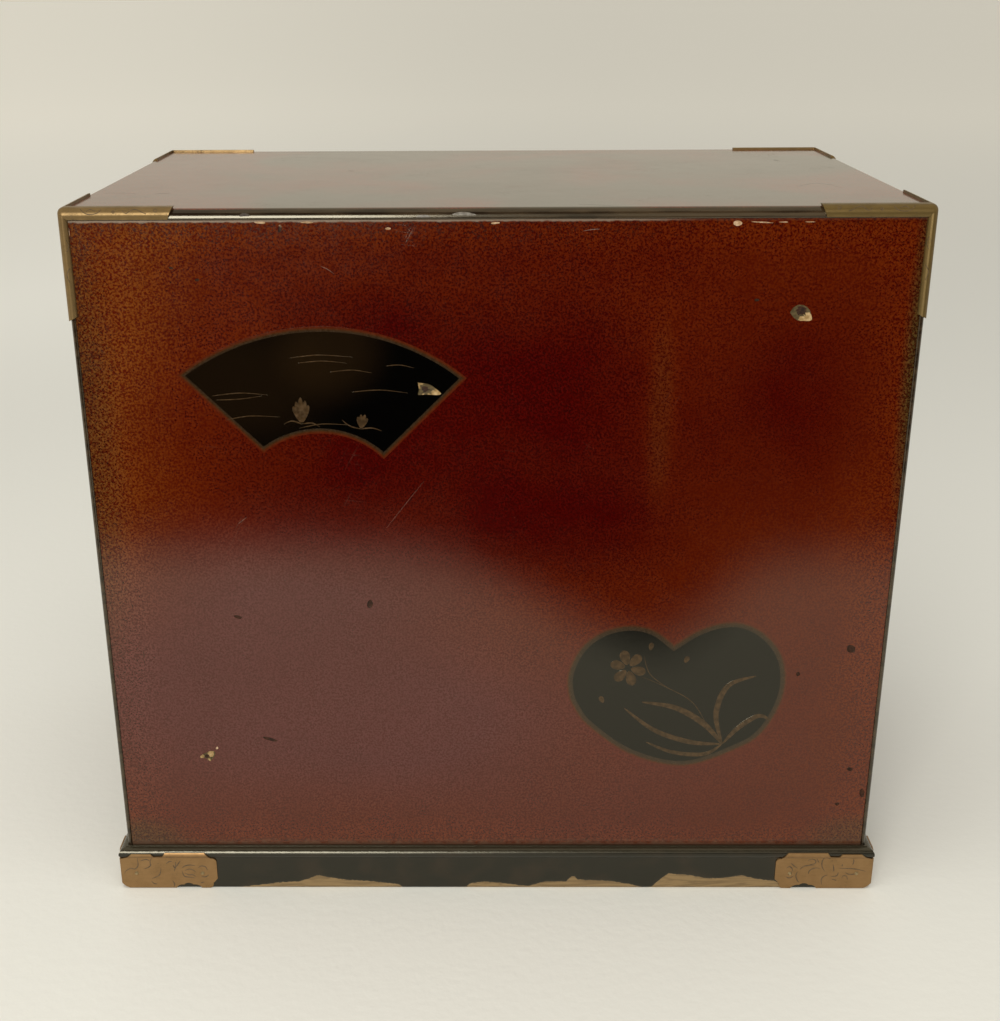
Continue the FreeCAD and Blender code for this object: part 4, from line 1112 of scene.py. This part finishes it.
# Pictures inside the reserves, drawn for this cabinet. Points are photo pixels on the back.
pictures = {
    "mist": [[(212, 396), (240, 393), (268, 395)], [(216, 400), (240, 399), (262, 396)],
             [(226, 420), (250, 416), (280, 417)], [(290, 358), (318, 355), (352, 357)],
             [(298, 363), (322, 361), (346, 363)], [(352, 392), (380, 390), (408, 393)],
             [(330, 372), (352, 370), (372, 373)], [(300, 428), (322, 424), (350, 425)],
             [(386, 366), (400, 365), (414, 368)]],
    "mistWidth": 0.5 * mm, "reedWidth": 0.7 * mm, "stemWidth": 0.5 * mm,
    "fanBuds": [{"foot": (302, 424), "tall": 27, "lean": -4, "petals": 5, "wide": 2.6 * mm},
                {"foot": (361, 429), "tall": 17, "lean": 8, "petals": 4, "wide": 2.0 * mm}],
    "budSpread": 46, "budFoot": 0.08,
    "reeds": [[(302, 424), (292, 421), (284, 424)], [(302, 424), (312, 423), (320, 427)],
              [(361, 429), (350, 426), (342, 420)], [(361, 429), (372, 428), (382, 431)]],
    "leaves": [([(722, 744), (704, 724), (676, 708), (642, 702)], 3.6 * mm),
               ([(722, 744), (716, 714), (728, 686), (756, 676)], 3.2 * mm),
               ([(722, 744), (738, 728), (758, 716), (770, 720)], 3.0 * mm),
               ([(722, 744), (690, 742), (654, 730), (624, 708)], 3.0 * mm),
               ([(722, 744), (704, 754), (672, 752), (646, 742)], 2.6 * mm)],
    "stems": [[(712, 736), (694, 704), (668, 688), (640, 676)], [(668, 688), (650, 674), (644, 656)]],
    "flower": {"middle": (628, 668), "reach": 18, "petals": 6, "wide": 5.6 * mm},
    "buds": [((650, 652), 9.6), ((684, 664), 8.8), ((604, 704), 8.8)], "budWidth": 2.8 * mm,
    "budAngles": (-2.2, -0.9), "petalFoot": 0.18, "petalFull": 0.62, "seed": 5,
}


def petal(centre, reach, angle, wide, foot=pictures["petalFoot"]):
    across, down = reach * math.cos(angle), reach * math.sin(angle)
    shares = (foot, (foot + 1) / 2, 1)
    spots = [(centre[0] + across * share, centre[1] + down * share) for share in shares]
    return brush(backPixels(spots), wide, pictures["petalFull"], 6)


def makePictures():
    chance = random.Random(pictures["seed"])
    fan = [brush(backPixels(one), pictures["mistWidth"], 0.3) for one in pictures["mist"]]
    fan += [brush(backPixels(one), pictures["reedWidth"], 0.3) for one in pictures["reeds"]]
    for bud in pictures["fanBuds"]:
        for i in range(bud["petals"]):
            share = i / (bud["petals"] - 1) - 0.5
            angle = math.radians(-90 + bud["lean"] + pictures["budSpread"] * share)
            reach = bud["tall"] * (1 - 0.5 * abs(share)) * chance.uniform(0.92, 1.0)
            fan.append(petal(bud["foot"], reach, angle, bud["wide"], pictures["budFoot"]))
    heart = [brush(backPixels(one), wide, 0.45, 9) for one, wide in pictures["leaves"]]
    heart += [brush(backPixels(one), pictures["stemWidth"], 0.5) for one in pictures["stems"]]
    flower = pictures["flower"]
    for i in range(flower["petals"]):
        angle = 2 * math.pi * (i + 0.25) / flower["petals"]
        heart.append(petal(flower["middle"], flower["reach"], angle, flower["wide"]))
    for centre, reach in pictures["buds"]:
        heart.append(petal(centre, reach, chance.uniform(*pictures["budAngles"]), pictures["budWidth"]))
    for name, lines in (("fan_picture", fan), ("heart_picture", heart)):
        mesh = lineMesh(name, backFace, lines, reserves["strokeHeight"])
        finishPiece(name, mesh, "case", "paintedGold")


makePictures()
print("stage: pictures drawn")


# Engraved scrolls on the plinth mounts, in photo pixels of the left and right mount
baseEngraving = {
    "left": [[(137.2, 857), (137.6, 861), (138, 865.5), (135, 869), (130.5, 868.4), (126, 871),
              (124.5, 873.5)],
             [(152, 857.5), (150, 861.5), (150.5, 865.5), (147, 868), (143.8, 869)],
             [(151.5, 881.2), (154, 883.4), (157.5, 884)],
             [(161, 868), (160.5, 872), (159, 875.5), (155.5, 877.2), (152, 878.6)],
             [(172, 861.6), (168.8, 861.8), (166, 864)], [(175.5, 862), (175.5, 866.5), (174.2, 871.4)],
             [(173, 865), (174.8, 868.4)], [(180.5, 860.6), (178, 864), (175.4, 868)],
             [(182, 868), (185, 866), (190, 865), (195.5, 866)],
             [(182.2, 870.5), (183, 874), (185, 876.5), (189.8, 877.2), (195, 878)],
             [(184.8, 870.6), (189, 869.2), (193, 870), (195.6, 872)],
             [(184.8, 873), (189, 874.8), (193, 874.8), (196, 876.8)],
             [(198, 868), (201.4, 866), (205.6, 867), (207.4, 870.6)],
             [(201.4, 876.4), (205.6, 876.8), (209, 874.6)],
             [(172.4, 880.5), (174.6, 884), (174, 887)], [(200.5, 883), (204.5, 882)],
             [(140, 861), (146, 859.5), (149.5, 861)]],
    "right": [[(786.4, 868.4), (789.6, 866.7), (792.4, 869.2), (791.6, 872.6)],
              [(790.8, 863), (793.4, 865.4), (797.4, 868.4)],
              [(785.4, 876.7), (789.6, 878), (793.8, 875.8)],
              [(807.8, 860.8), (811.6, 859.2), (815.4, 860.4), (815, 863.4), (808.4, 865)],
              [(816.6, 858.8), (819.2, 862.6)], [(800, 869.6), (803.4, 866.6), (809.2, 865.4), (815, 865)],
              [(797.4, 871.6), (795.8, 875.8), (797.4, 880.8), (799.2, 882.4)],
              [(808.4, 874.2), (808.8, 871.6), (811.6, 869.2), (815.8, 868), (820, 868.4)],
              [(828.4, 858), (824.2, 858.4), (822, 862.6), (822.4, 867.6), (825, 871.6)],
              [(828.4, 858), (830.8, 858.8)],
              [(833, 864.2), (833.8, 869.2), (833, 871.6)],
              [(827.6, 875), (823.4, 876.6), (821.2, 880), (821.6, 885)],
              [(831, 876.6), (836.6, 875.8), (838.4, 872.4)], [(831.6, 879.2), (836.6, 880.4)],
              [(841.6, 878.4), (843.4, 875.8), (846.6, 876.6), (847.4, 880)],
              [(845.4, 872.4), (848.4, 874.2), (853.4, 874.2), (857.6, 872.4)],
              [(839.2, 868.4), (845, 868.4), (853.4, 868.8), (860, 870), (865.8, 871.4)],
              [(853.4, 858.4), (853.8, 861.6), (852.6, 865)], [(842.4, 864.2), (842, 866.6)]],
    "width": 0.62 * mm, "height": 0.03 * mm,
}


def ringLine(centre, radius, steps):
    turns = [2 * math.pi * i / steps for i in range(steps)]
    line = [(centre[0] + radius * math.cos(turn), centre[1] + radius * math.sin(turn)) for turn in turns]
    return line + line[:1]


def makeBaseEngraving():
    outer = case["sheet"] - case["nose"]
    wide, deep = plinthHigh.x + outer, plinthHigh.y + outer  # where a mount's flat faces would meet
    drawn = {}
    for side in ("left", "right"):
        drawn[side] = []
        for stroke in baseEngraving[side]:
            spots = [backPoint(across, down, deep) for across, down in stroke]
            line = smoothLine([(abs(wide - abs(right)), up) for right, up in spots], 5)
            drawn[side].append((line, brushWidths(len(line), baseEngraving["width"], 0.5), False))
    for word, depthSign in (("back", 1), ("front", -1)):
        for hand, widthSign, side in (("right", 1, "left"), ("left", -1, "right")):
            corner = (widthSign * wide, depthSign * deep, 0)
            faces = {"long": surface(corner, (-widthSign, 0, 0), (0, depthSign, 0)),
                     "side": surface(corner, (0, -depthSign, 0), (widthSign, 0, 0))}
            for label, face in faces.items():
                name = "base_engraving_" + word + "_" + hand + "_" + label
                mesh = lineMesh(name, face, drawn[side], baseEngraving["height"])
                finishPiece(name, mesh, "case", "engravedLine", True)


makeBaseEngraving()


# Engraved waves on the top mounts, laid on the rounded brass by a ray from the viewer's side
topEngraving = {
    "strokes": [[(80, 209), (84, 213), (90, 214.5), (97, 213), (101, 209.5)],
                [(86, 211.5), (90, 209.5), (95, 211)],
                [(122, 210.5), (126, 213.5), (131, 210.2), (136, 209.6), (141, 212), (146, 214)],
                [(66, 240), (69, 246), (67, 252)], [(70, 268), (67, 275), (70, 283)]],
    "rings": [((155, 210.5), 1.6), ((113, 212), 1.2)], "ringSteps": 12,
    "width": 0.45 * mm, "height": 0.03 * mm,
}


# The low ridge of a line that follows a curved piece. Each line: places with their normals, and half widths.
def wrappedLineMesh(name, lines, height):
    corners, faces = [], []
    for line, widths in lines:
        faces += stripFaces(len(corners), len(line), len(ridgeSection))
        for index, (spot, normal) in enumerate(line):
            before, after = line[max(index - 1, 0)][0], line[min(index + 1, len(line) - 1)][0]
            side = normal.cross(after - before).normalized() * widths[index]
            for out, up in ridgeSection:
                corners.append(spot + side * out + normal * height * up)
    return meshFrom(name, corners, faces)


def rayTree(node):
    mesh = nodes[node].data
    return BVHTree.FromPolygons([v.co.copy() for v in mesh.vertices],
                                [tuple(p.vertices) for p in mesh.polygons])


# Where the rays through a stroke's photo pixels meet a piece, or its mirror image on another corner
def laidOn(tree, stroke, widthSign=1, depthSign=1):
    mirror = Matrix.Diagonal((widthSign, depthSign, 1))
    hits = [tree.ray_cast(mirror @ eye, mirror @ throughPixel(across, down)) for across, down in stroke]
    return [(spot, normal) for spot, normal, _, _ in hits if spot]


def makeTopEngraving():
    strokes = [smoothLine(one, 6) for one in topEngraving["strokes"]]
    strokes += [ringLine(centre, radius, topEngraving["ringSteps"])
                for centre, radius in topEngraving["rings"]]
    for word, depthSign in (("back", 1), ("front", -1)):
        for hand, widthSign in (("left", -1), ("right", 1)):
            tree = rayTree("top_mount_" + word + "_" + hand)
            laid = [laidOn(tree, stroke, widthSign, depthSign) for stroke in strokes]
            lines = [(line, [topEngraving["width"] / 2] * len(line)) for line in laid if len(line) > 2]
            if lines:
                name = "top_engraving_" + word + "_" + hand
                mesh = wrappedLineMesh(name, lines, topEngraving["height"])
                finishPiece(name, mesh, "case", "engravedLine", True)


makeTopEngraving()
print("stage: mounts engraved")


# Marks of use, laid on the piece that the viewer's ray meets. Each: photo pixels, width in mm and finish.
marks = {
    "top_board": [([(104, 193.4), (120, 193), (136, 193.6)], 0.5, "scuff"),
                  ([(155, 194), (162, 193.4), (170, 193.8)], 0.7, "scuff"),
                  ([(348, 171), (354, 171)], 1.6, "scuff"), ([(773, 160), (779, 160.4)], 2.2, "scuff"),
                  ([(796, 187), (812, 183.6), (828, 184.4), (842, 188)], 0.4, "scuff"),
                  ([(579, 204.4), (598, 205), (620, 206)], 0.7, "scuff"),
                  ([(239, 216), (244, 214.6), (250, 215.6)], 1.6, "scuff"),
                  ([(452, 214.4), (463, 213.6), (476, 214.8)], 1.5, "filler"),
                  ([(416, 217), (423, 216), (431, 217)], 1.2, "filler")],
    "back_panel": [([(385, 530), (404, 506), (425, 480)], 0.16, "paleScuff"),
                   ([(238, 524), (247, 517)], 0.25, "paleScuff"),
                   ([(320, 266), (327, 269), (334, 274)], 0.3, "paleScuff"),
                   ([(583, 231), (592, 229.6), (600, 229)], 0.4, "paleScuff")],
    "height": 0.02 * mm,
}


def makeMarks():
    for node in ("top_board", "back_panel"):
        tree = rayTree(node)
        for index, (stroke, wide, finish) in enumerate(marks[node]):
            line = laidOn(tree, smoothLine(stroke, 6))
            name = node + "_mark_" + str(index + 1)
            mesh = wrappedLineMesh(name, [(line, brushWidths(len(line), wide * mm, 0.5))], marks["height"])
            finishPiece(name, mesh, "case", finish)


makeMarks()
print("stage: marks of use laid on")


# Gilt border lines round the doors and drawer fronts, with a notch at each corner
borders = {"inset": 7 * mm, "notch": 5 * mm, "width": 0.9 * mm, "height": 0.1 * mm, "notchSteps": 6}


def borderLine(low, high):
    x0, x1 = low.x + borders["inset"], high.x - borders["inset"]
    z0, z1 = low.z + borders["inset"], high.z - borders["inset"]
    corners = []
    for x, z, turn in ((x0, z0, 90), (x1, z0, 180), (x1, z1, 270), (x0, z1, 360)):
        for i in range(borders["notchSteps"] + 1):
            angle = math.radians(turn - 90 * i / borders["notchSteps"])
            corners.append((x + borders["notch"] * math.cos(angle), z + borders["notch"] * math.sin(angle)))
    return corners


def makeBorders():
    face = surface((0, case["frontFace"], 0), (1, 0, 0), (0, -1, 0))
    for node in finishes["redLacquer"]:
        body = node.removesuffix("_front")
        line = borderLine(*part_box(node))
        mesh = lineMesh(body + "_border", face, [(line, [borders["width"] / 2] * len(line), True)],
                        borders["height"])
        finishPiece(body + "_border", mesh, body, "rimGold", True)


makeBorders()
print("stage: borders made")


# Floor, lamps, world, and the dark room that the lacquer mirrors
room = {
    # The floor's far colour and its side light are painted light: paler far away and towards the far left
    "floor": rgb(0.72, 0.72, 0.665), "litFarFloor": rgb(0.98, 0.955, 0.85), "litFarFade": (0.6, 5.5),
    "floorReach": 90.0, "floorRough": 0.85, "floorGrain": (160.0, 3.0), "floorRelief": 0.2 * mm,
    "paintedSideLight": 0.2, "paintedSideLightFade": (0.8, 1.7), "paintedSideLightSide": (-0.1, 0.4),
    "wall": rgb(0.66, 0.6, 0.485), "wallLight": 1.0, "ambient": rgb(1.0, 0.97, 0.92), "ambientLight": 0.6,
    "flagStarts": [(-0.5, 0.575), (-0.3, 0.58), (-0.264, 0.573), (-0.215, 0.535), (-0.161, 0.454),
                   (-0.118, 0.414), (-0.083, 0.436), (-0.046, 0.478), (-0.007, 0.523), (0.035, 0.565),
                   (0.079, 0.586), (0.3, 0.592), (0.5, 0.6)],
    "flagSoft": 0.15, "flagBack": 2.35, "flagLow": 2 * mm, "flagHigh": 0.28, "flagWide": 3.2,
    "flag": rgb(0.002, 0.002, 0.002), "upperWall": (1.7, 4.2), "upperWallColour": rgb(0.05, 0.045, 0.04),
    "lampColour": (1.0, 0.965, 0.9),
    "window": {"place": (0.56, 2.1, 0.7), "size": (0.84, 0.8), "power": 30.0, "aim": (0.0, 0.0, 0.3)},
    "overhead": {"place": (0.3, 0.9, 2.2), "size": (2.4, 2.0), "power": 28.0, "aim": (0.0, 0.0, 0.2)},
}


def stageObject(name, mesh, finish):
    made = bpy.data.objects.new(name, mesh)
    bpy.context.scene.collection.objects.link(made)
    mesh.materials.append(materials[finish])
    return made


def makeFloor():
    mesh = bpy.data.meshes.new("floor")
    made = bmesh.new()
    bmesh.ops.create_circle(made, cap_ends=True, segments=128, radius=room["floorReach"])
    made.to_mesh(mesh)
    made.free()
    shader, place = newMaterial("floorPaint", Roughness=room["floorRough"])
    # Painted light: the floor turns paler far away, and paler still towards the far left
    reach = vectorMaths("LENGTH", place, output="Value")
    lean = maths("DIVIDE", coordinates(place)[0], reach)
    paintedSideLight = fade(lean, *room["paintedSideLightSide"]) * fade(reach, *room["paintedSideLightFade"], 0.0, room["paintedSideLight"]) + 1.0
    paint = mixColours(fade(reach, *room["litFarFade"]), room["floor"], room["litFarFloor"])
    connect(shader, Base_Color=wireFrom("ShaderNodeVectorMath", {0: paint, "Scale": paintedSideLight},
                                        operation="SCALE"))
    bump(shader, noise(place, *room["floorGrain"]), room["floorRelief"])
    stageObject("floor", mesh, "floorPaint")


# The dark part of the floor that the lacquer mirrors starts along a curved, soft edge
def flagMaterial():
    shader, place = newMaterial("darkRoom", Base_Color=room["flag"], Roughness=1.0, Specular_IOR_Level=0.0)
    across, deep, _ = coordinates(place)
    starts = [(x + 0.5, y / 2) for x, y in room["flagStarts"]]  # both from 0 to 1, as the curve needs
    half = room["flagSoft"] / 2
    connect(shader, Alpha=fade(deep - curveThrough(across + 0.5, starts) * 2.0, -half, half))


# A sheet that only mirrors show
def stageSheet(name, path):
    corners = [(side * room["flagWide"], y, z) for y, z in path for side in (-1, 1)]
    faces = [(2 * i, 2 * i + 1, 2 * i + 3, 2 * i + 2) for i in range(len(path) - 1)]
    sheet = stageObject(name, meshFrom(name, corners, faces), name)
    sheet.visible_camera = False
    sheet.visible_diffuse = False
    sheet.visible_shadow = False
    sheet.visible_transmission = False


def makeFlag():
    flagMaterial()
    newMaterial("upperWall", Base_Color=room["upperWallColour"], Roughness=1.0, Specular_IOR_Level=0.0)
    nearest = min(y for _, y in room["flagStarts"]) - room["flagSoft"]
    back, low = room["flagBack"], room["flagLow"]
    stageSheet("darkRoom", [(nearest, low), (back, low), (back, room["flagHigh"])])
    stageSheet("upperWall", [(back, z) for z in room["upperWall"]])


def makeLamp(name, facts, glossy):
    data = bpy.data.lights.new(name, "AREA")
    data.shape = "RECTANGLE"
    data.size, data.size_y = facts["size"]
    data.energy = facts["power"]
    data.color = room["lampColour"]
    lamp = bpy.data.objects.new(name, data)
    lamp.location = facts["place"]
    lamp.rotation_euler = (Vector(facts["place"]) - Vector(facts["aim"])).to_track_quat("Z", "Y").to_euler()
    lamp.visible_glossy = glossy
    lamp.visible_camera = False
    bpy.context.scene.collection.objects.link(lamp)


# The plain light of the room, and the wall that the camera and the mirrors see instead of it
def makeWorld():
    world = bpy.data.worlds.new("studioWorld")
    world.use_nodes = True
    bpy.context.scene.world = world
    tree = world.node_tree
    ambient = tree.nodes["Background"]
    ambient.inputs["Color"].default_value = room["ambient"]
    ambient.inputs["Strength"].default_value = room["ambientLight"]
    wall = addNode(tree, "ShaderNodeBackground", {"Color": room["wall"], "Strength": room["wallLight"]})
    path = tree.nodes.new("ShaderNodeLightPath").outputs
    seen = larger(*[Wire(path["Is " + kind + " Ray"]) for kind in ("Camera", "Glossy", "Transmission")])
    mixed = wireFrom("ShaderNodeMixShader", {0: seen, 1: Wire(ambient.outputs[0]),
                                             2: Wire(wall.outputs[0])})
    plug(mixed, tree.nodes["World Output"].inputs["Surface"])


makeFloor()
makeFlag()
makeLamp("windowLamp", room["window"], True)
makeLamp("overheadLamp", room["overhead"], False)
makeWorld()
makeCamera()
bpy.context.scene.view_settings.view_transform = "Standard"
print("stage: room, lamps and camera made")
